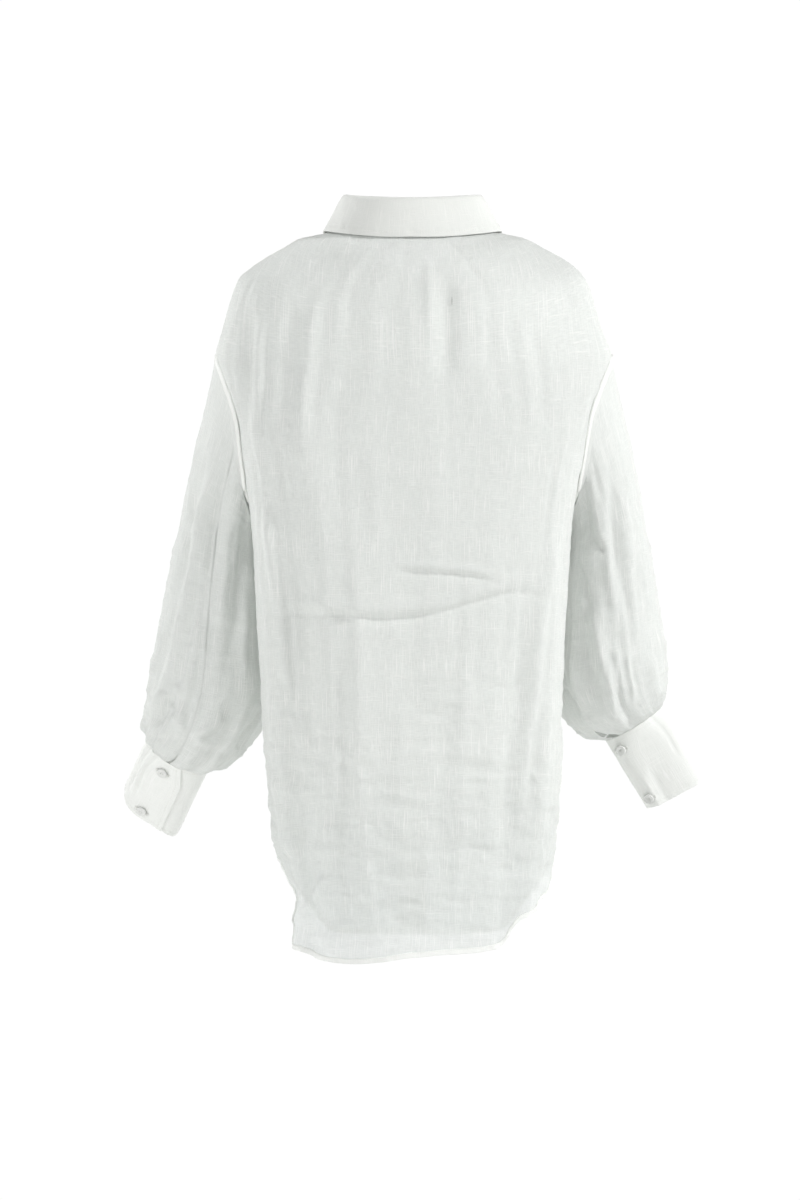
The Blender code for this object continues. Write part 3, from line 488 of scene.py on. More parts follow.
def lumps(across, down, size_across, size_down, seed):
    """Smooth seeded noise from -1 to 1 over a pair of coordinates, with lumps of the given sizes."""
    lattice = np.random.default_rng(seed).uniform(-1.0, 1.0, (LATTICE, LATTICE))
    across, down = across / size_across, down / size_down
    row, column = np.floor(across).astype(int), np.floor(down).astype(int)
    row_share, column_share = smooth_step(across - row), smooth_step(down - column)
    row, next_row, column, next_column = (place % LATTICE for place in (row, row + 1, column, column + 1))
    top = lattice[row, column] * (1 - row_share) + lattice[next_row, column] * row_share
    bottom = lattice[row, next_column] * (1 - row_share) + lattice[next_row, next_column] * row_share
    return top * (1 - column_share) + bottom * column_share


def crumple(across, down, size, seed):
    """Crumpled cloth: two crossed layers of soft facets that meet in narrow ridges, from 0 to 1."""
    first = lumps(across + 0.4 * down, down, size, size * 0.8, seed)
    second = lumps(across - 0.5 * down, down, size * 1.3, size * 0.55, seed + 1)
    return (1.0 - np.abs(first)) ** 2 * 0.55 + (1.0 - np.abs(second)) ** 2 * 0.45


def course_points(course):
    """The x and z of a crease's course as a fine smooth line, in metres."""
    path = np.array(course, float) * MM
    starts = run_lengths(path)
    fine = np.linspace(0.0, starts[-1], 8 * (len(path) - 1) + 1)
    return smooth_between(fine, starts, path[:, 0]), smooth_between(fine, starts, path[:, 1])


def crease_height(x, z, creases):
    """How far a table of creases raises the cloth at x and z."""
    height = np.zeros(np.broadcast(x, z).shape)
    for profile, half_width, most, course in creases:
        line_x, line_z = course_points(course)
        width = half_width * MM
        reach = CREASE_REACH * width
        near = (
            (x > line_x.min() - reach)
            & (x < line_x.max() + reach)
            & (z > line_z.min() - reach)
            & (z < line_z.max() + reach)
        )
        if not near.any():
            continue
        from_x = x[near][:, None] - line_x[None, :-1]
        from_z = z[near][:, None] - line_z[None, :-1]
        step_x, step_z = np.diff(line_x), np.diff(line_z)
        share = (from_x * step_x + from_z * step_z) / (step_x**2 + step_z**2)
        share = np.clip(share, 0.0, 1.0)
        distance = np.hypot(from_x - share * step_x, from_z - share * step_z)
        nearest = distance.argmin(axis=1)
        pick = (np.arange(len(nearest)), nearest)
        along = (nearest + share[pick]) / len(step_x)
        across = distance[pick] / width
        taper = smooth_step(along / CREASE_TAPER) * smooth_step((1.0 - along) / CREASE_TAPER)
        shape = np.exp(-across) if profile == SHARP else np.exp(-across * across)
        height[near] += most * MM * CREASE_STRENGTH * taper * shape
    return height


# ---------------------------------------------------------------- the body's form

# A mean radius of the body, which turns angles into metres of cloth for the noise
BODY_GIRTH_RADIUS = 0.16
# The body's small unevenness. Columns: kind, height, whether it is calmer at the collar, its share above the
# lower half, slant, sizes, seed.
BODY_UNEVENNESS = (
    (lumps, 0.0011, True, 1.0, 0.0, (0.050, 0.120), 11),
    (crumple, 0.0026, True, 0.40, 0.0, (0.046,), 41),
    (crumple, 0.0021, True, 0.35, 0.0, (0.019,), 43),
    (lumps, 0.0011, False, 0.0, 0.1, (0.045, 0.0095), 13),
    (lumps, 0.0006, False, 0.3, -0.07, (0.026, 0.0058), 14),
    (lumps, 0.0011, True, 1.0, 0.0, (0.011, 0.140), 15),
)
FOLD_TAPER = 0.08


def section_at(level):
    levels = table_column(BODY_SECTIONS, 0)
    return {
        name: smooth_between(level, levels, table_column(BODY_SECTIONS, column))
        for column, name in enumerate(BODY_COLUMNS)
    }


def plain_body(level, angle):
    row = section_at(level)
    turn = np.radians(angle)
    sine, cosine = np.sin(turn), np.cos(turn)
    behind = cosine > 0
    power = 2.0 / np.where(behind, row["back_square"], row["front_square"])
    middle = (row["left_x"] + row["right_x"]) / 2
    uneven = (row["left_x"] - row["right_x"]) / 2
    x = (middle + uneven * sine) * np.sign(sine) * np.abs(sine) ** power
    centre_y = np.where(behind, row["back_y"], row["front_y"])
    centre_z = np.where(behind, row["back_z"], row["front_z"])
    y = row["side_y"] + (centre_y - row["side_y"]) * np.abs(cosine) ** power
    z = row["side_z"] + (centre_z - row["side_z"]) * np.abs(cosine) ** 1.6
    return stack(x, y, z)


def plain_normal(level, angle):
    level_step, angle_step = 0.0015, 0.8
    down = plain_body(level + level_step, angle) - plain_body(np.maximum(level - level_step, 0.0), angle)
    round_ = plain_body(level, angle + angle_step) - plain_body(level, angle - angle_step)
    return unit(np.cross(round_, down))


def fold_height(level, angle):
    height = np.zeros(np.broadcast(level, angle).shape)
    for centre, reach, start, end, most in BODY_FOLDS:
        across = np.abs(angle_apart(angle, centre)) / reach
        along = smooth_step((level - start) / FOLD_TAPER) * smooth_step((end - level) / FOLD_TAPER)
        height = height + most * along * np.exp(-across * across)
    return height


def body_wrinkles(level, angle, plain):
    """The cloth's own creases and unevenness on the body, apart from its broad folds."""
    x, z = plain[..., 0], plain[..., 2]
    round_back = np.abs(angle_apart(angle, 0.0))
    behind = smooth_step((98.0 - round_back) / 10.0)
    before = smooth_step((round_back - 92.0) / 10.0)
    height = crease_height(x, z, BACK_CREASES) * behind + crease_height(x, z, FRONT_CREASES) * before
    girth = np.radians(angle) * BODY_GIRTH_RADIUS
    calm = 0.25 + 0.75 * smooth_step(level / 0.08)
    low = smooth_step((level - 0.40) / 0.22)
    uneven = 0.0
    for noise, most, calm_at_collar, upper_share, slant, sizes, seed in BODY_UNEVENNESS:
        strength = most * (calm if calm_at_collar else 1.0) * (upper_share + (1.0 - upper_share) * low)
        uneven = uneven + strength * noise(girth, level + slant * girth, *sizes, seed)
    from_closure = np.abs(angle_apart(angle, 180.0)) - CLOSURE_REACH
    return height + uneven * smooth_step(from_closure / CLOSURE_BLEND)


def body_place(level, angle, lift=0.0):
    """A point on the dressed body, moved out of the cloth by lift."""
    level, angle = np.broadcast_arrays(np.asarray(level, float), np.asarray(angle, float))
    plain = plain_body(level, angle)
    raised = fold_height(level, angle) + body_wrinkles(level, angle, plain) + lift
    return plain + plain_normal(level, angle) * raised[..., None]


def side_angle(level):
    down = (level - TIP_LEVEL) / (UNDERARM_LEVEL - TIP_LEVEL)
    to_underarm = SIDE_ANGLE_TOP + (SIDE_ANGLE_UNDERARM - SIDE_ANGLE_TOP) * np.clip(down, 0.0, 1.0)
    along = smooth_step((level - UNDERARM_LEVEL) / (SIDE_HEM - UNDERARM_LEVEL))
    return to_underarm + (SIDE_ANGLE_HEM - SIDE_ANGLE_UNDERARM) * along


def armhole_level(turn):
    return TIP_LEVEL + (UNDERARM_LEVEL - TIP_LEVEL) * (1.0 - np.cos(np.radians(turn))) / 2


def hem_level(angle):
    signed = angle_apart(np.asarray(angle, float), 0.0)
    front = smooth_between(180.0 - np.abs(signed), table_column(FRONT_HEM, 0), table_column(FRONT_HEM, 1))
    places = table_column(BACK_HEM, 0)
    left = smooth_between(np.abs(signed), places, table_column(BACK_HEM, 1))
    right = smooth_between(np.abs(signed), places, table_column(BACK_HEM, 2))
    back = right + (left - right) * smooth_step(0.5 + signed / 24.0)
    return np.where(np.abs(signed) > SIDE_ANGLE_HEM, front, back)


def body_rows():
    """The panels' rows: level at the side, how far the armhole swings in, share of the way to the hem."""
    top = np.linspace(0.0, TIP_LEVEL, SHOULDER_ROWS, endpoint=False)
    turns = np.linspace(0.0, 180.0, ARMHOLE_ROWS)
    skirt = np.linspace(0.0, 1.0, SKIRT_ROWS + 1)[1:]
    level = np.concatenate([top, armhole_level(turns), np.full(len(skirt), UNDERARM_LEVEL)])
    swing = np.concatenate([top * 0.0, np.sin(np.radians(turns)), skirt * 0.0])
    share = np.concatenate([top * 0.0, turns * 0.0, skirt])
    return level, swing, share


def row_levels(rows, angle):
    level, _, share = (values[:, None] for values in rows)
    return level + share * (hem_level(angle) - level)


def seam_angle(rows, toward_back):
    """The angle at which each row ends at the shoulder seam, armhole or side seam of the left side."""
    level, swing, share = rows
    reached = level + share * (hem_level(SIDE_ANGLE_HEM) - level)
    middle = side_angle(reached)
    return middle - ARMHOLE_BACK * swing if toward_back else middle + ARMHOLE_FRONT * swing


def centre_angle(level, x):
    """The angle at which the front has this x, counted past 180 on the wearer's right."""
    row = section_at(level)
    return 180.0 - np.degrees(np.arcsin(x / ((row["left_x"] + row["right_x"]) / 2)))


def front_edge(rows, x):
    level, _, share = rows
    return centre_angle(level + share * (hem_level(180.0) - level), x)


def even_columns(rows, start, end, count):
    """Angles from start to end in each row, evenly spaced along the cloth, and how far along each one is."""
    share = np.linspace(0.0, 1.0, ARC_SAMPLES)
    angles = start[:, None] + (end - start)[:, None] * share[None, :]
    points = plain_body(row_levels(rows, angles), angles)
    lengths = run_lengths(points, axis=1)
    even = np.linspace(0.0, 1.0, count)
    out = np.empty((len(start), count))
    along = np.empty((len(start), count))
    for row in range(len(start)):
        wanted = even * lengths[row, -1]
        out[row] = np.interp(wanted, lengths[row], angles[row])
        along[row] = wanted - lengths[row, -1] / 2
    return out, along


# ---------------------------------------------------------------- meshes

def index_quads(index, flip):
    """The quads of a grid of vertex numbers, each turned round where flip is true."""
    quads = np.stack([index[:-1, :-1], index[:-1, 1:], index[1:, 1:], index[1:, :-1]], axis=-1).reshape(-1, 4)
    return quads[:, ::-1] if flip else quads


def grid_quads(rows, columns, joined=0, flip=False):
    """The quads of a grid of points, whose last column joins its first in the first joined rows."""
    index = np.arange(rows * columns).reshape(rows, columns)
    index[:joined, -1] = index[:joined, 0]
    return index_quads(index, flip)


def make_mesh(name, points, quads, weave):
    """A mesh of quads with a UV map in metres of cloth; vertices that no face uses are dropped."""
    used, quads = np.unique(quads, return_inverse=True)
    quads = quads.reshape(-1, 4)
    points, weave = points.reshape(-1, 3)[used], weave.reshape(-1, 2)[used]
    data = bpy.data.meshes.new(name)
    data.vertices.add(len(points))
    data.vertices.foreach_set("co", points.astype(np.float32).ravel())
    data.loops.add(quads.size)
    data.loops.foreach_set("vertex_index", quads.astype(np.int32).ravel())
    data.polygons.add(len(quads))
    data.polygons.foreach_set("loop_start", np.arange(0, quads.size, 4, dtype=np.int32))
    layer = data.uv_layers.new(name="Weave")
    layer.data.foreach_set("uv", weave[quads.ravel()].astype(np.float32).ravel())
    data.update(calc_edges=True)
    data.validate()
    data.shade_smooth()
    piece = bpy.data.objects.new(name, data)
    bpy.context.scene.collection.objects.link(piece)
    return piece


def grid_normals(points):
    down, round_ = np.gradient(points, axis=0), np.gradient(points, axis=1)
    return unit(np.cross(round_, down))


def edge_lines(length, count, rim=EDGE_RIM):
    """Places along a band: close together in its rounded rims and even between them."""
    inside = np.linspace(rim, length - rim, count)
    start = rim * np.array([0.0, 0.12, 0.45])
    return np.concatenate([start, inside, (length - start)[::-1]])


def rim_share(places, length, rim):
    near = np.clip(np.minimum(places, length - places) / rim, 0.0, 1.0)
    return np.sqrt(np.clip(1.0 - (1.0 - near) ** 2, 0.0, 1.0))


def shell(name, points, normals, thickness, along, down, rim=EDGE_RIM):
    """A closed cloth wall whose outer face goes through points, with rounded edges. along and down are the
    places of its columns and rows, in metres."""
    half = thickness / 2 * rim_share(down, down[-1], rim)[:, None] * rim_share(along, along[-1], rim)[None, :]
    middle = points - normals * (thickness / 2)
    outer, inner = middle + normals * half[..., None], middle - normals * half[..., None]
    rows, columns = half.shape
    count = rows * columns
    index = np.arange(count).reshape(rows, columns)
    inner_index = index + count
    turned = (grid_normals(points) * normals).sum() < 0
    for border in (np.s_[0, :], np.s_[-1, :], np.s_[:, 0], np.s_[:, -1]):
        inner_index[border] = index[border]
    quads = [index_quads(index, turned), index_quads(inner_index, not turned)]
    weave = np.stack(np.meshgrid(along, -down), axis=-1)
    return make_mesh(
        name,
        np.concatenate([outer.reshape(-1, 3), inner.reshape(-1, 3)]),
        np.concatenate(quads),
        np.concatenate([weave.reshape(-1, 2), weave.reshape(-1, 2)]),
    )


def facing_out(normals, points, centre):
    """The normals, turned if need be to face away from centre."""
    away = (normals * (points - np.asarray(centre))).sum(axis=-1).mean()
    return normals if away > 0 else -normals


# ---------------------------------------------------------------- stitches

# A buttonhole: half its length, half the width and the place of its end bars, and its stitches' rise
HOLE_HALF = 0.0068
BAR_HALF = 0.0015
BAR_PLACE = 0.0073
HOLE_RISE = 0.00006
# A little more than a range's end, so that the range includes it
HOLE_EXTRA = 0.00001


def grid_line(points, normals, places, at, lengthwise=False):
    """The line of a grid at a distance across it, with its normals."""
    if lengthwise:
        points, normals = points.swapaxes(0, 1), normals.swapaxes(0, 1)
    index = np.interp(at, places, np.arange(len(places)))
    low = min(int(index), len(places) - 2)
    share = index - low
    line = points[low] * (1.0 - share) + points[low + 1] * share
    return line, unit(normals[low] * (1.0 - share) + normals[low + 1] * share)


def line_stitches(line, normals):
    """Stitches evenly along a line of points: where they are, which way they run and which way they face."""
    lengths = run_lengths(line)
    wanted = np.arange(STITCH_MARGIN, lengths[-1] - STITCH_MARGIN, STITCH_PITCH)
    places = np.stack([np.interp(wanted, lengths, line[:, axis]) for axis in range(3)], axis=-1)
    facing = unit(np.stack([np.interp(wanted, lengths, normals[:, axis]) for axis in range(3)], axis=-1))
    runs = unit(np.gradient(places, axis=0))
    return places + facing * FLAT_STITCH_RISE, runs, facing


def across_and_along(points, normals, down, along, levels, ends):
    """Rows of stitches across a piece's grid at some levels, then along it at some ends."""
    rows = [line_stitches(*grid_line(points, normals, down, at)) for at in levels]
    return rows + [line_stitches(*grid_line(points, normals, along, at, True)) for at in ends]


def buttonhole(place, normal, run):
    """Close stitches across both sides of a slit, and a bar of them at each end."""
    run = unit(run - normal * (run * normal).sum())
    side = np.cross(normal, run)
    steps = np.arange(-HOLE_HALF, HOLE_HALF + HOLE_EXTRA, 0.00042)
    lines = [(step, away) for away in (-0.0009, 0.0009) for step in steps]
    bar = np.arange(-BAR_HALF, BAR_HALF + HOLE_EXTRA, 0.0004)
    ends = [(end, away) for end in (-BAR_PLACE, BAR_PLACE) for away in bar]
    places = [place + run * step + side * away for step, away in lines + ends]
    runs = [side] * len(lines) + [run] * len(ends)
    return np.array(places) + normal * HOLE_RISE, np.array(runs), np.tile(normal, (len(places), 1))


def make_stitches(name, rows, length=STITCH_LENGTH, radius=STITCH_RADIUS):
    """Every stitch of some rows in one mesh: a thread that rises from the cloth and dips back into it."""
    points, directions, normals = (np.concatenate(parts) for parts in zip(*rows))
    sideways = unit(np.cross(normals, directions))
    corners = []
    for along, size, rise in THREAD_RINGS:
        middle = points + directions * (along * length) + normals * (rise * radius)
        for across, up in THREAD_CORNERS:
            corners.append(middle + (sideways * across + normals * up) * (size * radius))
    corners = np.stack(corners, axis=1)
    faces = [(3, 2, 1, 0), (12, 13, 14, 15)]
    for ring in (0, 4, 8):
        for corner in range(4):
            other = (corner + 1) % 4
            faces.append((ring + corner, ring + other, ring + 4 + other, ring + 4 + corner))
    quads = (np.arange(len(points)) * 16)[:, None, None] + np.array(faces)[None]
    return make_mesh(name, corners.reshape(-1, 3), quads.reshape(-1, 4), np.zeros((len(points) * 16, 2)))


# ---------------------------------------------------------------- body panels

def make_panel(name, rows, start, end, count, lift=None):
    """A panel of the body between two angles in each row; lift may raise it by level and angle."""
    angles, along = even_columns(rows, start, end, count)
    levels = row_levels(rows, angles)
    raised = lift(levels, angles) if lift else 0.0
    points = body_place(levels, angles, raised)
    weave = np.stack([along, -levels], axis=-1)
    return make_mesh(name, points, grid_quads(*angles.shape), weave)


def underlap_lift(level, angle):
    """The left front dips under the right one beside the centre."""
    from_edge = (centre_angle(level, -UNDERLAP) - angle) * np.radians(section_at(level)["left_x"])
    past = smooth_step((UNDERLAP + PLACKET_HALF + UNDERLAP_BLEND - from_edge) / UNDERLAP_BLEND)
    return -(CLOTH + 2 * REST_GAP) * past


def make_panels():
    """The back and the two fronts by name. The right front's angles are counted on past a whole turn back."""
    rows = body_rows()
    behind, before = seam_angle(rows, True), seam_angle(rows, False)
    left_edge, right_edge = front_edge(rows, -UNDERLAP), front_edge(rows, PLACKET_HALF) - 360.0
    return {
        "back": make_panel("back_cloth", rows, -behind, behind, BACK_COLUMNS),
        "front_left": make_panel("front_left_cloth", rows, before, left_edge, FRONT_COLUMNS, underlap_lift),
        "front_right": make_panel("front_right_cloth", rows, right_edge, -before, FRONT_COLUMNS),
    }


def button_level(number):
    return FIRST_BUTTON_DROP + BUTTON_PITCH * (number - 1)


def make_placket():
    """The band down the right front, with its stitches and buttonholes."""
    length = hem_level(180.0) - PLACKET_START
    down = edge_lines(float(length), PLACKET_GRID[0])
    along = edge_lines(2 * PLACKET_HALF, PLACKET_GRID[1])
    level = PLACKET_START + down[:, None] + 0.0 * along[None, :]
    angle = centre_angle(level, along[None, :] - PLACKET_HALF) - 360.0
    points = body_place(level, angle, CLOTH + REST_GAP)
    normals = facing_out(grid_normals(points), points, (0.0, 0.0, -0.4))
    edges = (PLACKET_STITCHING, 2 * PLACKET_HALF - PLACKET_STITCHING)
    rows = across_and_along(points, normals, down, along, (), edges)
    for number in range(1, FRONT_BUTTONS + 1):
        level = button_level(number)
        place = body_place(level, 180.0, CLOTH + REST_GAP)
        rows.append(buttonhole(place, plain_normal(level, 180.0), np.array([0.0, 0.0, -1.0])))
    return shell("placket_cloth", points, normals, CLOTH, along, down), rows


# ---------------------------------------------------------------- sleeves

# A mean radius of a sleeve, which turns degrees round it into metres of cloth
SLEEVE_GIRTH_RADIUS = 0.068
WRINKLE_SEEDS = {"left": 21, "right": 22}
# A sleeve's small unevenness. Columns: kind, height, slant, metres of cloth to a place, sizes, seed.
SLEEVE_UNEVENNESS = (
    (lumps, 0.0012, 0.0, 1.0, (0.022, 1.6), 31),
    (lumps, 0.0009, 0.002, 1.0, (0.0075, 1.3), 32),
    (crumple, 0.0028, 0.0, 0.050, (0.040,), 33),
    (crumple, 0.0014, 0.0, 0.050, (0.017,), 35),
)


def oval_frame(tilt, lean, side):
    turn, tip = np.radians(tilt), np.radians(lean)
    across = stack(side * np.cos(turn), 0.0, np.sin(turn))
    down = stack(side * np.sin(turn), 0.0, -np.cos(turn))
    back = np.array([0.0, 1.0, 0.0])
    cosine, sine = np.cos(tip)[..., None], np.sin(tip)[..., None]
    return across, back * cosine + down * sine, down * cosine - back * sine


def sleeve_section(side_name, place):
    sections = SLEEVE_SECTIONS[side_name]
    places = np.arange(len(sections))
    return {
        name: smooth_between(place, places, table_column(sections, column))
        for column, name in enumerate(SLEEVE_TABLE_COLUMNS)
    }


def sleeve_wrinkles(side_name, turn, place):
    """The folds round a sleeve that run down it, and its small gathers at the cuff."""
    broad = SLEEVE_FOLD_HEIGHT * smooth_step((place - 1.5) / 2.5) * smooth_step((8.0 - place) / 2.0)
    height = broad * np.sin(np.radians(SLEEVE_FOLDS * turn + 40.0 + 12.0 * place))
    random = np.random.default_rng(WRINKLE_SEEDS[side_name])
    for number in range(CUFF_GATHERS):
        centre = (number + random.uniform(-0.35, 0.35)) * 360.0 / CUFF_GATHERS
        reach = random.uniform(*CUFF_GATHER_REACH)
        most = random.uniform(*CUFF_GATHER_HEIGHT) * MM * random.choice((1.0, 1.0, -1.0))
        start = random.uniform(4.6, 6.9)
        drift = random.uniform(-4.0, 4.0)
        away = angle_apart(turn, centre + drift * (place - 7.0))
        growth = smooth_step((place - start) / 1.4) * (1.0 - 0.55 * smooth_step((place - 7.3) / 0.7))
        height = height + most * growth * np.exp(-((away / reach) ** 2))
    girth = np.radians(turn) * SLEEVE_GIRTH_RADIUS
    ends = smooth_step(place / 1.5) * (1.0 - 0.7 * smooth_step((place - 7.2) / 0.8))
    for noise, most, slant, place_length, sizes, seed in SLEEVE_UNEVENNESS:
        height = height + most * ends * noise(girth + slant * place, place_length * place, *sizes, seed)
    return height


def clear_of_body(points, clearance):
    """Points, moved straight out from the body's middle where they are nearer the form than clearance."""
    levels = table_column(BODY_SECTIONS, 0)
    heights = [-row[BODY_COLUMNS.index("side_z")] for row in BODY_SECTIONS]
    row = section_at(np.interp(-points[..., 2], heights, levels))
    wide = np.where(points[..., 0] > 0, row["left_x"], row["right_x"])
    away = points[..., 1] - row["side_y"]
    behind = away > 0
    deep = np.where(behind, row["back_y"] - row["side_y"], row["side_y"] - row["front_y"])
    power = np.where(behind, row["back_square"], row["front_square"])
    share = (np.abs(points[..., 0] / wide) ** power + np.abs(away / deep) ** power) ** (1.0 / power)
    grow = np.maximum((1.0 + clearance / deep) / share, 1.0)
    return stack(points[..., 0] * grow, row["side_y"] + away * grow, points[..., 2])


def armhole_edge(turn, side):
    """A point on the armhole's edge: turn 0 at the shoulder, by the back to 180 at the underarm."""
    turn = np.asarray(turn, float) % 360.0
    toward_back = turn <= 180.0
    seam_turn = np.where(toward_back, turn, 360.0 - turn)
    level = armhole_level(seam_turn)
    swing = np.where(toward_back, -ARMHOLE_BACK, ARMHOLE_FRONT) * np.sin(np.radians(seam_turn))
    return body_place(level, side * (side_angle(level) + swing))


def sleeve_surface(side_name, turn, place):
    """A point of a sleeve; the turn goes from the outer side by the back to the inner side."""
    side = SIDES[side_name]
    turn, place = np.broadcast_arrays(np.asarray(turn, float), np.asarray(place, float))
    section = sleeve_section(side_name, place)
    widest, at_cuff = SLIT_WIDTH[side_name]
    rise = smooth_step((place - SLIT_START) / (SLIT_WIDEST - SLIT_START))
    slit = np.where(place > SLIT_START, widest * rise, 0.0)
    slit = np.where(place > SLIT_WIDEST, widest + (at_cuff - widest) * (place - SLIT_WIDEST) * 2.0, slit)
    from_slit = turn - SLIT_ANGLE[side_name]
    nearest = np.minimum(np.abs(from_slit), np.abs(360.0 - from_slit))
    round_length = math.pi * (section["across"] + section["deep"])
    push = slit / 2 / round_length * 360.0 * np.maximum(0.0, 1.0 - nearest / SLIT_SPREAD)
    turned = turn + np.where(from_slit < 180.0, push, -push)
    across, back, _ = oval_frame(section["tilt"], section["lean"], side)
    angle = np.radians(turned)
    cosine, sine = np.cos(angle)[..., None], np.sin(angle)[..., None]
    wide, deep = section["across"][..., None], section["deep"][..., None]
    centre = stack(side * section["x"], section["y"], section["z"])
    normal = unit(across * deep * cosine + back * wide * sine)
    height = sleeve_wrinkles(side_name, turned, place)
    gathers = REGULAR_GATHER_SHARE * section["gather"] * np.sin(np.radians(GATHERS * turned + 20.0))
    height = height + gathers
    flat = centre + across * wide * cosine + back * deep * sine
    creases = crease_height(flat[..., 0], flat[..., 2], SLEEVE_CREASES[side_name])
    behind, before = smooth_step(0.5 + 2.0 * sine[..., 0]), smooth_step(-2.0 * sine[..., 0])
    height = height + creases * (behind - 0.6 * before)
    points = flat + normal * height[..., None]
    share = smooth_step(place / 2.0)[..., None]
    points = armhole_edge(turn, side) * (1.0 - share) + points * share
    clearance = SLEEVE_CLEARANCE * smooth_step(place / 1.5) + REST_GAP
    moved = clear_of_body(points, clearance)
    return np.where((place > 0)[..., None], moved, points)


def sleeve_places(count):
    """Places down a sleeve, evenly spaced along it, and their distances from the armhole."""
    fine = np.linspace(0.0, LAST_PLACE, 400)
    lengths = run_lengths(sleeve_surface("left", 40.0, fine))
    wanted = np.linspace(0.0, lengths[-1], count)
    return np.interp(wanted, lengths, fine), wanted


def make_sleeve(side_name):
    places, down = sleeve_places(SLEEVE_ROWS)
    turns = SLIT_ANGLE[side_name] + np.linspace(0.0, 360.0, SLEEVE_COLUMNS)
    points = sleeve_surface(side_name, turns[None, :], places[:, None])
    girth = np.radians(turns - turns[0]) * SLEEVE_GIRTH_RADIUS
    weave = np.stack(np.meshgrid(girth, -down), axis=-1)
    above_slit = int(np.searchsorted(places, SLIT_START))
    quads = grid_quads(*points.shape[:2], joined=above_slit, flip=side_name == "left")
    return make_mesh(f"sleeve_{side_name}_cloth", points, quads, weave)


# ---------------------------------------------------------------- trims on the cloth

EVEN_SHARES = np.linspace(0.0, 1.0, 900)
# A strip's columns are this far apart, and its middle lies this share of its thickness over the cloth
STRIP_STEP = 0.0022
STRIP_ROWS = 8
STRIP_LIFT = 0.55


def even_shares(points):
    """Where EVEN_SHARES of the way along a line of points lie, as shares of its list, and its length."""
    lengths = run_lengths(points)
    wanted = np.linspace(0.0, lengths[-1], len(EVEN_SHARES))
    return np.interp(wanted, lengths, np.linspace(0.0, 1.0, len(points))), lengths[-1]


def strip(name, surface, length, width, thickness, centre):
    """A flat band of cloth on a surface, which gives points for shares along it and metres across it."""
    along = edge_lines(length, max(int(length / STRIP_STEP), 8), STRIP_RIM)
    down = edge_lines(width, STRIP_ROWS, STRIP_RIM)
    points = surface(along[None, :] / length, down[:, None])
    normals = facing_out(grid_normals(points), points, centre)
    points = points + normals * (thickness * STRIP_LIFT)
    return shell(name, points, normals, thickness, along, down, STRIP_RIM)


def stitch_row(surface, length, across, centre):
    """Points, directions and normals of the stitches in a row at a distance across a strip."""
    count = max(int((length - 2 * STITCH_MARGIN) / STITCH_PITCH), 2)
    middle = np.linspace(STITCH_MARGIN, length - STITCH_MARGIN, count) / length
    half = STITCH_LENGTH / 2 / length
    rows = np.array([across - 0.0004, across, across + 0.0004])[:, None]
    before = surface(middle[None, :] - half, rows)
    after = surface(middle[None, :] + half, rows)
    points = surface(middle[None, :], rows)
    normals = facing_out(grid_normals(points), points, centre)[1]
    return points[1] + normals * SEAM_STITCH_RISE, unit(after[1] - before[1]), normals


def sewn_strip(name, surface, length, width, thickness, centre, stitching, stitch_centre=None):
    """A strip and its rows of stitches, which lie at some distances across it."""
    rows = [stitch_row(surface, length, across, stitch_centre or centre) for across in stitching]
    return strip(name, surface, length, width, thickness, centre), rows


def make_hem(name, start, end):
    """A narrow rolled hem along a panel's lower edge, from one angle to another, and its stitches."""
    angles = np.linspace(start, end, 1500)
    shares, length = even_shares(body_place(hem_level(angles), angles))

    def surface(share, across):
        angle = np.interp(np.interp(share, EVEN_SHARES, shares), np.linspace(0.0, 1.0, len(angles)), angles)
        ripple = 0.00028 * lumps(share * length, across, 0.0065, 0.02, 51)
        return body_place(hem_level(angle) + HEM_OVERHANG - across, angle, ripple)

    return sewn_strip(name, surface, length, HEM_WIDTH, HEM_THICKNESS, HEM_CENTRE, (HEM_WIDTH - 0.0012,))


def make_fell(side_name):
    """The flat-felled armhole seam, a doubled band on the sleeve's side of the armhole, and its stitches."""
    side = SIDES[side_name]
    turns = np.linspace(0.0, 360.0, 721)
    places = np.linspace(0.0, 0.7, 40)
    grid = sleeve_surface(side_name, turns[None, :], places[:, None])
    lengths = run_lengths(grid)
    shares, length = even_shares(grid[0])
    centre = grid.reshape(-1, 3).mean(axis=0) - np.array([side * 0.06, 0.0, 0.0])

    def surface(share, across):
        turn = np.interp(share, EVEN_SHARES, shares) * 360.0
        share, across = np.broadcast_arrays(share, across)
        turn = np.broadcast_to(turn, share.shape)
        place = np.empty(share.shape)
        for column in range(share.shape[1]):
            nearest = int(round(turn[0, column] * 2.0))
            place[:, column] = np.interp(across[:, column], lengths[:, nearest], places)
        ripple = 0.00022 * lumps(share * length, across, 0.006, 0.02, 52)
        points = sleeve_surface(side_name, turn, place)
        return points + facing_out(grid_normals(points), points, centre) * ripple[..., None]

    stitching = (FELL_WIDTH - 0.0013, 0.0014)
    stitch_centre = (side * 0.15, -0.02, -0.24)
    name = f"fell_{side_name}"
    return sewn_strip(name, surface, length, FELL_WIDTH, FELL_THICKNESS, centre, stitching, stitch_centre)


def make_side_seam(side_name):
    """The sewn edge down one side from the underarm to the hem, and its stitches."""
    side = SIDES[side_name]
    bottom = float(hem_level(SIDE_ANGLE_HEM))
    length = bottom - UNDERARM_LEVEL - 0.004

    def surface(share, across):
        level = UNDERARM_LEVEL + 0.002 + share * length
        angle = side * (side_angle(level) - np.degrees((across - 0.0035) / 0.15))
        return body_place(level + 0.0 * across, angle)

    name = f"side_seam_{side_name}"
    return sewn_strip(name, surface, length, SIDE_SEAM_WIDTH, SEAM_THICKNESS, SIDE_SEAM_CENTRE, (0.0058,))


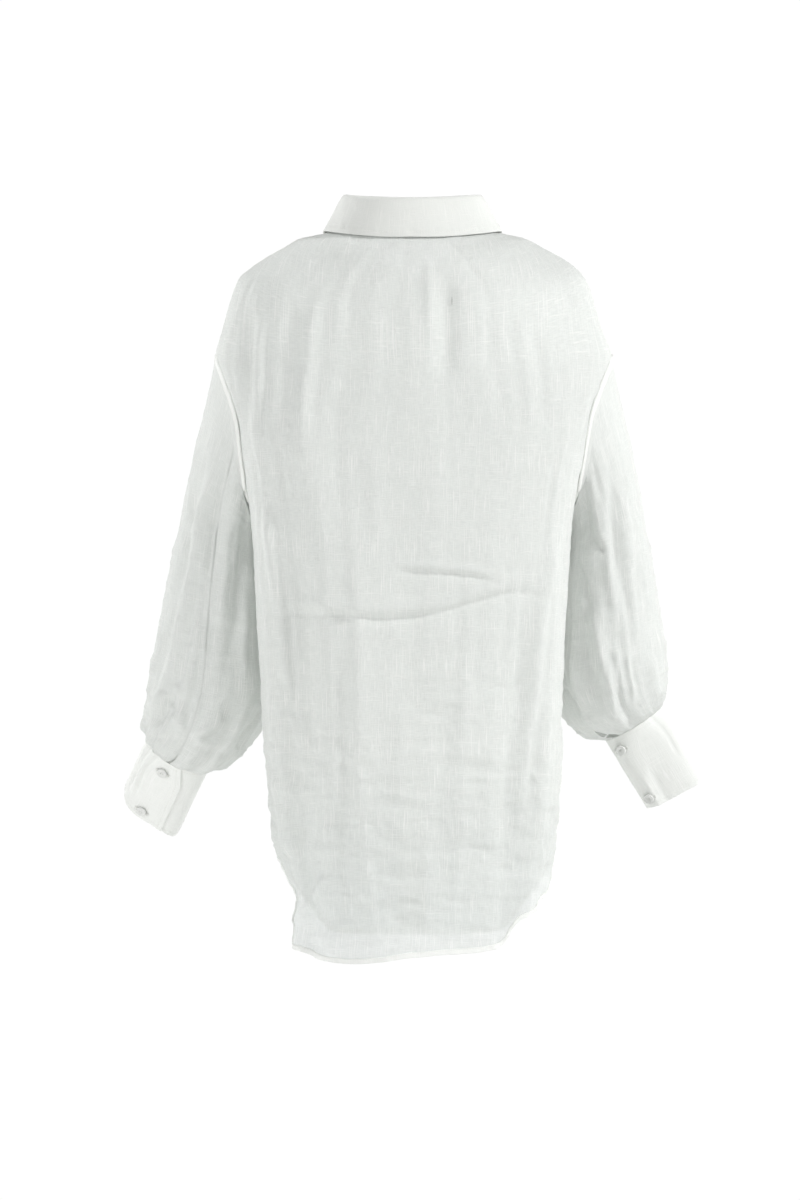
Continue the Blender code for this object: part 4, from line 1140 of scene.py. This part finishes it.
def make_shoulder_seam(side_name):
    """The sewn edge along one shoulder, and its stitches."""
    side = SIDES[side_name]

    def surface(share, across):
        level = 0.003 + share * (TIP_LEVEL - 0.004)
        angle = side * (SIDE_ANGLE_TOP + np.degrees((across - 0.002) / (0.055 + 0.5 * level)))
        return body_place(level + 0.0 * across, angle)

    name, length, width = f"shoulder_seam_{side_name}", SHOULDER_SEAM_LENGTH, SHOULDER_SEAM_WIDTH
    return sewn_strip(name, surface, length, width, SEAM_THICKNESS, SHOULDER_SEAM_CENTRE, (0.0066,))


# ---------------------------------------------------------------- cuffs

def cuff_place(side_name, turn, depth, out):
    """A point on a cuff and its outward direction: turn round it, depth down it, out from its middle line."""
    side = SIDES[side_name]
    section = sleeve_section(side_name, LAST_PLACE)
    across, back, down = oval_frame(section["tilt"], section["lean"], side)
    turn, depth = np.broadcast_arrays(np.asarray(turn, float), np.asarray(depth, float))
    share = depth / CUFF_DEPTH
    across_scale, deep_scale = CUFF_END_SCALE[side_name]
    wide = (section["across"] * (1.0 + (across_scale - 1.0) * share))[..., None]
    deep = (section["deep"] * (1.0 + (deep_scale - 1.0) * share))[..., None]
    angle = np.radians(turn)
    cosine, sine = np.cos(angle)[..., None], np.sin(angle)[..., None]
    fall = (depth * (1.0 - CUFF_SKEW[side_name] * np.cos(angle)))[..., None]
    centre = np.array([side * section["x"], section["y"], section["z"]]) + down * fall
    flat = 2.0 / (2.0 + CUFF_FLATNESS * smooth_step(depth / CUFF_FLATTENING))[..., None]
    level = np.sign(cosine) * np.abs(cosine) ** flat
    behind = np.sign(sine) * np.abs(sine) ** flat
    normal = unit(across * deep * np.sign(cosine) * np.abs(cosine) ** (2.0 - flat)
                  + back * wide * np.sign(sine) * np.abs(sine) ** (2.0 - flat))
    for centre_turn, reach, most, start, end in CUFF_FOLDS[side_name]:
        leaning = centre_turn + CUFF_FOLD_LEAN * (depth - CUFF_FOLD_MIDDLE)
        near = np.exp(-((angle_apart(turn, leaning) / reach) ** 2))
        begun = smooth_step((depth - start) / CUFF_FOLD_TAPER)
        out = out + most * MM * near * begun * smooth_step((end - depth) / CUFF_FOLD_TAPER)
    out = out + 0.00035 * lumps(np.radians(turn) * 0.032, depth, 0.016, 0.022, 61)
    out = np.broadcast_to(np.asarray(out, float), turn.shape)[..., None]
    return centre + across * wide * level + back * deep * behind + normal * out, normal


def make_cuff(side_name):
    """A cuff, which laps over itself like a scroll, with its stitches and buttonholes."""
    girth = (360.0 + CUFF_LAP) / 360.0 * CUFF_GIRTH
    along = edge_lines(girth, CUFF_GRID[1])
    down = edge_lines(CUFF_DEPTH, CUFF_GRID[0])
    share = along / girth
    turn = FLAP_ANGLE[side_name] - 360.0 - CUFF_LAP + (360.0 + CUFF_LAP) * share
    points, normals = cuff_place(side_name, turn[None, :], down[:, None], CUFF_SPIRAL * (2.0 * share - 1.0))
    levels = (CUFF_STITCHING, CUFF_DEPTH - CUFF_STITCHING)
    rows = across_and_along(points, normals, down, along, levels, (girth - CUFF_STITCHING,))
    for depth in CUFF_BUTTON_DEPTHS:
        place, normal = cuff_place(side_name, CUFF_BUTTON_ANGLE[side_name], depth, CUFF_SPIRAL)
        ahead, _ = cuff_place(side_name, CUFF_BUTTON_ANGLE[side_name] + 4.0, depth, CUFF_SPIRAL)
        rows.append(buttonhole(place, normal, unit(ahead - place)))
    return shell(f"cuff_{side_name}_cloth", points, normals, FIRM_CLOTH, along, down), rows


# ---------------------------------------------------------------- collar

def stand_top(angle):
    turn = np.radians(angle)
    sine, cosine = np.sin(turn), np.cos(turn)
    behind = cosine > 0
    depth = np.where(behind, STAND_TOP_BACK[0], STAND_TOP_FRONT[0])
    height = np.where(behind, STAND_TOP_BACK[1], STAND_TOP_FRONT[1])
    side_x, side_z = STAND_TOP_SIDE
    z = side_z + (height - side_z) * np.abs(cosine) ** 1.6
    return stack(side_x * sine, depth * np.abs(cosine) - 0.004 * (1.0 - np.abs(cosine)), z)


def level_normal(angle):
    turn = np.radians(angle)
    return unit(stack(np.sin(turn) * 0.060, np.cos(turn) * 0.069, 0.0))


def make_stand():
    """The collar's stand, a band that laps over itself at the front, and its stitches."""
    along = edge_lines(STAND_GIRTH, STAND_GRID[1])
    down = edge_lines(STAND_HEIGHT, STAND_GRID[0])
    angle = (STAND_END_ANGLE - 2 * STAND_END_ANGLE * along / STAND_GIRTH)[None, :]
    share = (1.0 - down / down[-1])[:, None, None]
    out = level_normal(angle) * (STAND_SPIRAL * (2.0 * along / STAND_GIRTH - 1.0))[None, :, None]
    foot = plain_body(0.0, angle) + np.array([0.0, 0.0, REST_GAP])
    points = foot * (1.0 - share) + stand_top(angle) * share + out
    normals = np.broadcast_to(level_normal(angle), points.shape)
    levels = (STAND_STITCHING, down[-1] - STAND_STITCHING)
    rows = across_and_along(points, normals, down, along, levels, ())
    return shell("collar_stand_cloth", points, normals, FIRM_CLOTH, along, down), rows


def fall_edge(angle):
    places = table_column(FALL_EDGE, 0)
    level = smooth_between(np.abs(angle), places, table_column(FALL_EDGE, 1))
    lift = smooth_between(np.abs(angle), places, table_column(FALL_EDGE, 2))
    return plain_body(level, angle) + plain_normal(level, angle) * lift[..., None]


def make_fall():
    """The collar's fall, which turns over the stand and lies on the body, and its stitches."""
    along = edge_lines(FALL_GIRTH, FALL_GRID[1])
    angle = FALL_END_ANGLE - 2 * FALL_END_ANGLE * along / FALL_GIRTH
    edge = fall_edge(angle)
    turned = [
        stand_top(angle) + level_normal(angle) * outward + np.array([0.0, 0.0, upward])
        for outward, upward in FALL_FOLD
    ]
    courses = np.array([*turned, turned[-1] * 0.5 + edge * 0.5, edge])
    places = run_lengths(courses).mean(axis=1)
    down = edge_lines(places[-1], FALL_GRID[0])
    points = np.empty((len(down), len(along), 3))
    for column, axis in np.ndindex(len(along), 3):
        points[:, column, axis] = smooth_between(down, places, courses[:, column, axis])
    normals = facing_out(grid_normals(points), points, (0.0, 0.0, -0.05))
    to_edge = (down[-1] - down)[:, None]
    near = smooth_step(1.0 - np.abs(to_edge - PUCKER_MIDDLE) / PUCKER_REACH)
    puckers = PUCKER_HEIGHT * (lumps(along[None, :] + 0.1 * to_edge, to_edge, 0.0044, 0.009, 71) * near)
    ripples = FALL_RIPPLE_HEIGHT * lumps(along[None, :], to_edge, 0.022, 0.018, 72)
    points = points + normals * (puckers + ripples)[..., None]
    ends = (FALL_STITCHING, FALL_GIRTH - FALL_STITCHING)
    rows = across_and_along(points, normals, down, along, (down[-1] - FALL_STITCHING,), ends)
    return shell("collar_fall_cloth", points, normals, FIRM_CLOTH, along, down), rows


# ---------------------------------------------------------------- buttons

def button_mesh(name, place, normal):
    """A round four-hole button with a raised rim, lying on the cloth at place."""
    rings = np.array(BUTTON_RINGS) * MM
    turns = np.linspace(0.0, 2.0 * math.pi, BUTTON_SIDES + 1)
    x, y = rings[:, None] * np.cos(turns)[None, :], rings[:, None] * np.sin(turns)[None, :]
    rim = smooth_step((rings - DISH_RADIUS) / DISH_BLEND)
    top = BUTTON_THICKNESS * (DISH_SHARE + (1.0 - DISH_SHARE) * rim)
    top = top * np.sqrt(1.0 - np.clip((rings - ROUNDING_START) / ROUNDING, 0.0, 0.8) ** 2)
    height = np.repeat(top[:, None], len(turns), axis=1)
    for hole_x, hole_y in BUTTON_HOLES:
        away = np.hypot(x - hole_x, y - hole_y)
        height = height - HOLE_DEPTH * smooth_step((HOLE_RADIUS * 1.25 - away) / (HOLE_RADIUS * 0.7))
    frame_z = unit(np.asarray(normal, float))
    frame_x = unit(np.cross(frame_z, np.array([0.31, 0.22, 0.93])))
    frame_y = np.cross(frame_z, frame_x)
    upper = place + x[..., None] * frame_x + y[..., None] * frame_y + height[..., None] * frame_z
    lower = place + x[..., None] * frame_x + y[..., None] * frame_y
    points = np.concatenate([upper, lower[::-1]])
    turn = (frame_x + frame_y) / math.sqrt(2.0), (frame_x - frame_y) / math.sqrt(2.0)
    middle = place + frame_z * (BUTTON_THICKNESS * DISH_SHARE + 0.0001)
    thread = np.array([middle, middle]), np.array(turn), np.array([frame_z, frame_z])
    quads = grid_quads(*points.shape[:2], joined=len(points), flip=True)
    return make_mesh(name, points, quads, points[..., :2]), thread


def make_buttons():
    """The buttons by the names of the solids that they stand for, and the threads that hold them."""
    places = {}
    for side_name in SIDES:
        for number, depth in enumerate(CUFF_BUTTON_DEPTHS, start=1):
            turn = CUFF_BUTTON_ANGLE[side_name]
            out = CUFF_SPIRAL + 2 * REST_GAP
            places[f"cuff_button_{side_name}_{number}"] = cuff_place(side_name, turn, depth, out)
    lift = CLOTH + 3 * REST_GAP
    for number in range(1, FRONT_BUTTONS + 1):
        level = button_level(number)
        places[f"front_button_{number}"] = body_place(level, 180.0, lift), plain_normal(level, 180.0)
    middle = (plain_body(0.0, 180.0) + stand_top(180.0)) / 2
    forward = level_normal(180.0)
    places["collar_button"] = middle + forward * (STAND_SPIRAL + 3 * REST_GAP), forward
    buttons, threads = {}, []
    for name, (place, normal) in places.items():
        buttons[name], thread = button_mesh(f"{name}_dressed", place, normal)
        threads.append(thread)
    return buttons, threads


# ---------------------------------------------------------------- materials

# The cloths. Columns: colours of the thin, plain and slubby places, sheerness, roughness, depth of the weave.
CLOTH_LOOKS = {
    "ramie": (((0.812, 0.834, 0.81), (0.842, 0.862, 0.838), (0.96, 0.965, 0.945)), 0.05, 0.90, 0.00016),
    "ramie_folded": (((0.875, 0.89, 0.865), (0.905, 0.918, 0.89), (0.94, 0.945, 0.925)), 0.0, 0.90, 0.00013),
    "firm_ramie": (((0.762, 0.778, 0.75), (0.79, 0.803, 0.775), (0.83, 0.838, 0.812)), 0.0, 0.86, 0.00011),
    # The cuffs' copy is lighter than the plain cloth, a painted highlight where they face the light
    "crisp_ramie": (((0.85, 0.866, 0.84), (0.88, 0.894, 0.868), (0.915, 0.924, 0.905)), 0.0, 0.84, 0.00011),
}
THREAD_COLOUR = (0.84, 0.85, 0.82)
BUTTON_COLOUR = (0.74, 0.75, 0.73)
DARK_COLOUR = (0.16, 0.15, 0.14)
# The dark thread: its place on the back as x and z, the way it runs, its length and its radius
DARK_THREAD = (-0.0413, -0.068)
DARK_THREAD_RUN = np.array([0.03, 0.0, -1.0])
DARK_THREAD_SIZE = (0.014, 0.00018)
BUTTON_THREAD_SIZE = (0.0036, 0.0003)
THREAD_PITCH = 0.00062
# The weave's noises. Columns: lumps to the metre across and down, detail, seed.
WEAVE_NOISES = {
    "warp": (1700.0, 90.0, 1.0, 1.0),
    "weft": (130.0, 1700.0, 1.0, 2.0),
    "warp_slub": (950.0, 24.0, 1.0, 3.0),
    "weft_slub": (30.0, 950.0, 1.0, 4.0),
    "mottle": (150.0, 36.0, 2.0, 5.0),
}
# The cloth's sheen and gloss, and the light that comes through it: scattered, straight (tinted grey, a
# painted shade) and, as a painted shade that darkens the tail, more of it near the hem
SHEEN = {"Specular IOR Level": 0.22, "Sheen Weight": 0.12, "Sheen Roughness": 0.5}
SCATTERED_SHARE = 0.16
# The see-through part is tinted grey, a painted shade over what shows through the cloth
SHADED_CLEAR_COLOUR = (0.86, 0.89, 0.90, 1.0)
# Where the tail darkens with painted shade: its band of heights and the most see-through that it adds
TAIL_SHADE_BAND = (-0.54, -0.71)
TAIL_SHADE_SHEERNESS = 0.20


class NodeMaker:
    """Adds nodes to a material's tree and links them in one call each."""

    def __init__(self, name):
        self.material = bpy.data.materials.new(name)
        self.material.use_nodes = True
        self.tree = self.material.node_tree
        self.shader = self.tree.nodes["Principled BSDF"]
        self.output = self.tree.nodes["Material Output"]

    def add(self, kind, inputs=None, **settings):
        node = self.tree.nodes.new(kind)
        for name, value in settings.items():
            setattr(node, name, value)
        for name, value in (inputs or {}).items():
            self.feed(node, name, value)
        return node

    def feed(self, node, name, value):
        socket = node.inputs[name]
        if isinstance(value, bpy.types.NodeSocket):
            self.tree.links.new(value, socket)
        else:
            socket.default_value = value

    def math(self, operation, first, second=0.0):
        node = self.add("ShaderNodeMath", {0: first, 1: second}, operation=operation)
        return node.outputs[0]

    def span(self, value, low, high, to_low=0.0, to_high=1.0):
        inputs = {"Value": value, "From Min": low, "From Max": high, "To Min": to_low, "To Max": to_high}
        return self.add("ShaderNodeMapRange", inputs).outputs["Result"]

    def blend(self, share, first, second):
        inputs = {"Factor": share, 6: first, 7: second}
        return self.add("ShaderNodeMix", inputs, data_type="RGBA").outputs[2]

    def mix_shaders(self, share, first, second):
        return self.add("ShaderNodeMixShader", {"Fac": share, 1: first, 2: second}).outputs["Shader"]

    def noise(self, coordinates, scale_x, scale_y, detail, seed):
        """Noise over the cloth with its own scale each way, in lumps to the metre."""
        shift = (17.3 * seed, 9.1 * seed, 0.0)
        inputs = {"Vector": coordinates, "Scale": (scale_x, scale_y, 1.0), "Location": shift}
        place = self.add("ShaderNodeMapping", inputs)
        inputs = {"Vector": place.outputs["Vector"], "Scale": 1.0, "Detail": detail}
        return self.add("ShaderNodeTexNoise", inputs, noise_dimensions="2D").outputs["Fac"]


def cloth_material(name, colours, sheer, roughness, weave_depth):
    """Plain-woven ramie: two sets of uneven threads, brighter slubs and soft mottling, sheer where asked,
    with a painted shade in what shows through and more of it towards the hem.
    """
    dark, plain, bright = (colour + (1.0,) for colour in colours)
    make = NodeMaker(name)
    coordinates = make.add("ShaderNodeUVMap", uv_map="Weave").outputs["UV"]
    noises = {kind: make.noise(coordinates, *row) for kind, row in WEAVE_NOISES.items()}
    warp_slub = make.span(noises["warp_slub"], 0.64, 0.72)
    weft_slub = make.span(noises["weft_slub"], 0.67, 0.75)
    threads = make.math("ADD", make.span(noises["warp"], 0.25, 0.75), make.span(noises["weft"], 0.25, 0.75))
    mottle = make.span(noises["mottle"], 0.2, 0.8, -0.1, 0.1)
    tone = make.math("ADD", make.math("MULTIPLY", threads, 0.5), mottle)
    base = make.blend(make.span(tone, 0.2, 0.7), dark, plain)
    slubs = make.math("MAXIMUM", make.math("MULTIPLY", warp_slub, 0.9), make.math("MULTIPLY", weft_slub, 0.6))
    make.feed(make.shader, "Base Color", make.blend(slubs, base, bright))
    make.feed(make.shader, "Roughness", make.span(tone, 0.2, 0.8, roughness - 0.07, roughness + 0.05))
    for socket, value in SHEEN.items():
        make.feed(make.shader, socket, value)

    split = make.add("ShaderNodeSeparateXYZ", {"Vector": coordinates})
    turns = 2.0 * math.pi / THREAD_PITCH
    across = make.math("SINE", make.math("MULTIPLY", split.outputs["X"], turns))
    down = make.math("SINE", make.math("MULTIPLY", split.outputs["Y"], turns))
    fine = make.math("MULTIPLY", make.math("MULTIPLY", across, down), 0.18)
    raised = make.math("ADD", make.math("ADD", threads, fine), make.math("MULTIPLY", slubs, 0.9))
    bump = make.add("ShaderNodeBump", {"Height": raised, "Distance": weave_depth, "Strength": 0.85})
    make.feed(make.shader, "Normal", bump.outputs["Normal"])

    if sheer > 0.0:
        glow = make.add("ShaderNodeBsdfTranslucent", {"Color": plain, "Normal": bump.outputs["Normal"]})
        shaded_clear = make.add("ShaderNodeBsdfTransparent", {"Color": SHADED_CLEAR_COLOUR})
        backlit = make.mix_shaders(SCATTERED_SHARE, make.shader.outputs["BSDF"], glow.outputs["BSDF"])
        # Painted shade: more of the grey see-through towards the hem darkens the tail
        low = make.span(split.outputs["Y"], *TAIL_SHADE_BAND, 0.0, TAIL_SHADE_SHEERNESS)
        see_through_and_tail_shade = make.math("ADD", make.span(tone, 0.15, 0.75, sheer * 1.7, sheer * 0.5), low)
        make.feed(make.output, "Surface", make.mix_shaders(see_through_and_tail_shade, backlit, shaded_clear.outputs["BSDF"]))
    return make.material


def plain_material(name, colour, roughness, specular=0.3):
    make = NodeMaker(name)
    looks = {"Base Color": (*colour, 1.0), "Roughness": roughness, "Specular IOR Level": specular}
    for socket, value in looks.items():
        make.feed(make.shader, socket, value)
    return make.material


# ---------------------------------------------------------------- studio

CAMERA_DISTANCE = 8.0
VIEW_HEIGHT = 1.272
SENSOR = 36.0
VIEW_CENTRE = (0.01325, -0.3837)
FLOOR_LEVEL = -1.5
FLOOR_RADIUS = 6.0
FLOOR_COLOUR = (0.93, 0.93, 0.92)
# The studio's light has these strengths at the two ends of a band of heights above or below eye level
WORLD_BAND = (0.09, 0.20)
WORLD_STRENGTH = (1.02, 0.25)
# Soft lights. Columns: name, place, size, power in watts.
LIGHTS = (
    ("key", (-4.1, 1.9, 2.6), 0.9, 192.0),
    ("fill", (3.6, 3.0, 0.7), 1.8, 72.0),
    ("front_key", (3.2, -3.0, 2.4), 1.6, 130.0),
    ("front_fill", (-3.4, -3.2, 1.0), 2.2, 60.0),
)
LIGHT_AIM = Vector((0.0, 0.0, -0.35))


def make_camera():
    data = bpy.data.cameras.new("camera")
    data.sensor_width = SENSOR
    data.lens = SENSOR * CAMERA_DISTANCE / VIEW_HEIGHT
    data.clip_end = 100.0
    camera = bpy.data.objects.new("camera", data)
    camera.location = (VIEW_CENTRE[0], CAMERA_DISTANCE, VIEW_CENTRE[1])
    camera.rotation_euler = (math.radians(90.0), 0.0, math.radians(180.0))
    bpy.context.scene.collection.objects.link(camera)
    bpy.context.scene.camera = camera


def make_world():
    """A white studio, full white at eye level and dimmer above and below, so that the key light shows."""
    world = bpy.data.worlds.new("studio")
    bpy.context.scene.world = world
    world.use_nodes = True
    tree = world.node_tree
    direction = tree.nodes.new("ShaderNodeTexCoord")
    split = tree.nodes.new("ShaderNodeSeparateXYZ")
    height = tree.nodes.new("ShaderNodeMath")
    height.operation = "ABSOLUTE"
    level = tree.nodes.new("ShaderNodeMapRange")
    level.interpolation_type = "SMOOTHSTEP"
    for socket, value in zip(("From Min", "From Max", "To Min", "To Max"), WORLD_BAND + WORLD_STRENGTH):
        level.inputs[socket].default_value = value
    background = tree.nodes["Background"]
    tree.links.new(direction.outputs["Generated"], split.inputs[0])
    tree.links.new(split.outputs["Z"], height.inputs[0])
    tree.links.new(height.outputs[0], level.inputs["Value"])
    tree.links.new(level.outputs[0], background.inputs["Strength"])
    background.inputs["Color"].default_value = (1.0, 1.0, 1.0, 1.0)


def make_lights():
    for name, place, size, power in LIGHTS:
        data = bpy.data.lights.new(name, "AREA")
        data.size = size
        data.energy = power
        light = bpy.data.objects.new(name, data)
        light.location = place
        light.rotation_euler = (LIGHT_AIM - Vector(place)).to_track_quat("-Z", "Y").to_euler()
        bpy.context.scene.collection.objects.link(light)


def make_floor():
    mesh = bmesh.new()
    bmesh.ops.create_circle(mesh, cap_ends=True, segments=96, radius=FLOOR_RADIUS)
    data = bpy.data.meshes.new("floor")
    mesh.to_mesh(data)
    mesh.free()
    floor = bpy.data.objects.new("floor", data)
    floor.location = (0.0, 0.0, FLOOR_LEVEL)
    bpy.context.scene.collection.objects.link(floor)
    data.materials.append(plain_material("pale_floor", FLOOR_COLOUR, 0.9, 0.1))


def dress(piece, material, nodes=()):
    piece.data.materials.append(material)
    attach(piece, "root")
    if nodes:
        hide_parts(*nodes)


def dark_thread():
    """One short dark thread that lies in the weave of the back, near the right shoulder blade."""
    level, angle = np.meshgrid(np.linspace(0.02, 0.20, 300), np.linspace(-40.0, -4.0, 300))
    points = body_place(level, angle)
    nearest = np.hypot(points[..., 0] - DARK_THREAD[0], points[..., 2] - DARK_THREAD[1]).argmin()
    place, facing = points.reshape(-1, 3)[nearest], plain_normal(level, angle).reshape(-1, 3)[nearest]
    run = unit(DARK_THREAD_RUN - facing * (facing * DARK_THREAD_RUN).sum())
    return [(place[None, :], run[None, :], facing[None, :])]


def make_trims():
    """The hems, felled armholes and seams, by the piece of cloth that they are on, and their stitches."""
    behind, before = SIDE_ANGLE_HEM - HEM_END, SIDE_ANGLE_HEM + HEM_END
    sewn = [
        ("back", make_hem("hem_back", -behind, behind)),
        ("front_left", make_hem("hem_front_left", before, LEFT_HEM_END)),
        ("front_right", make_hem("hem_front_right", -before, RIGHT_HEM_END)),
    ]
    for side_name in SIDES:
        sewn.append((f"sleeve_{side_name}", make_fell(side_name)))
        sewn.append(("back", make_side_seam(side_name)))
        sewn.append(("back", make_shoulder_seam(side_name)))
    pieces, rows = {}, []
    for node, (piece, stitches) in sewn:
        pieces.setdefault(node, []).append(piece)
        rows.extend(stitches)
    return pieces, rows


def main():
    looks = {name: cloth_material(name, *row) for name, row in CLOTH_LOOKS.items()}
    thread = plain_material("thread", THREAD_COLOUR, 0.7)
    plastic = plain_material("button_plastic", BUTTON_COLOUR, 0.28, 0.5)
    dark = plain_material("dark_thread", DARK_COLOUR, 0.8)
    pieces = make_panels()
    for side_name in SIDES:
        pieces[f"sleeve_{side_name}"] = make_sleeve(side_name)
    stitched = {f"cuff_{side_name}": make_cuff(side_name) for side_name in SIDES}
    stitched |= {"collar_stand": make_stand(), "collar_fall": make_fall(), "placket": make_placket()}
    pieces |= {node: piece for node, (piece, _) in stitched.items()}
    trims, seam_rows = make_trims()
    rows = [row for _, stitches in stitched.values() for row in stitches] + seam_rows
    for node, piece in pieces.items():
        plain = node.startswith(("back", "front", "sleeve"))
        # The cuffs take the lighter copy of the cloth, a painted highlight
        look = "ramie" if plain else "crisp_ramie" if node.startswith("cuff") else "firm_ramie"
        dress(piece, looks[look], [node])
        for trim in trims.get(node, ()):
            dress(trim, looks["ramie_folded"])
    dress(make_stitches("stitches", rows), thread)
    dress(make_stitches("dark_thread", dark_thread(), *DARK_THREAD_SIZE), dark)
    buttons, threads = make_buttons()
    for node, button in buttons.items():
        dress(button, plastic, [node])
    dress(make_stitches("button_threads", threads, *BUTTON_THREAD_SIZE), thread)
    make_camera()
    make_world()
    make_lights()
    make_floor()
    bpy.context.scene.view_settings.view_transform = "Standard"


main()
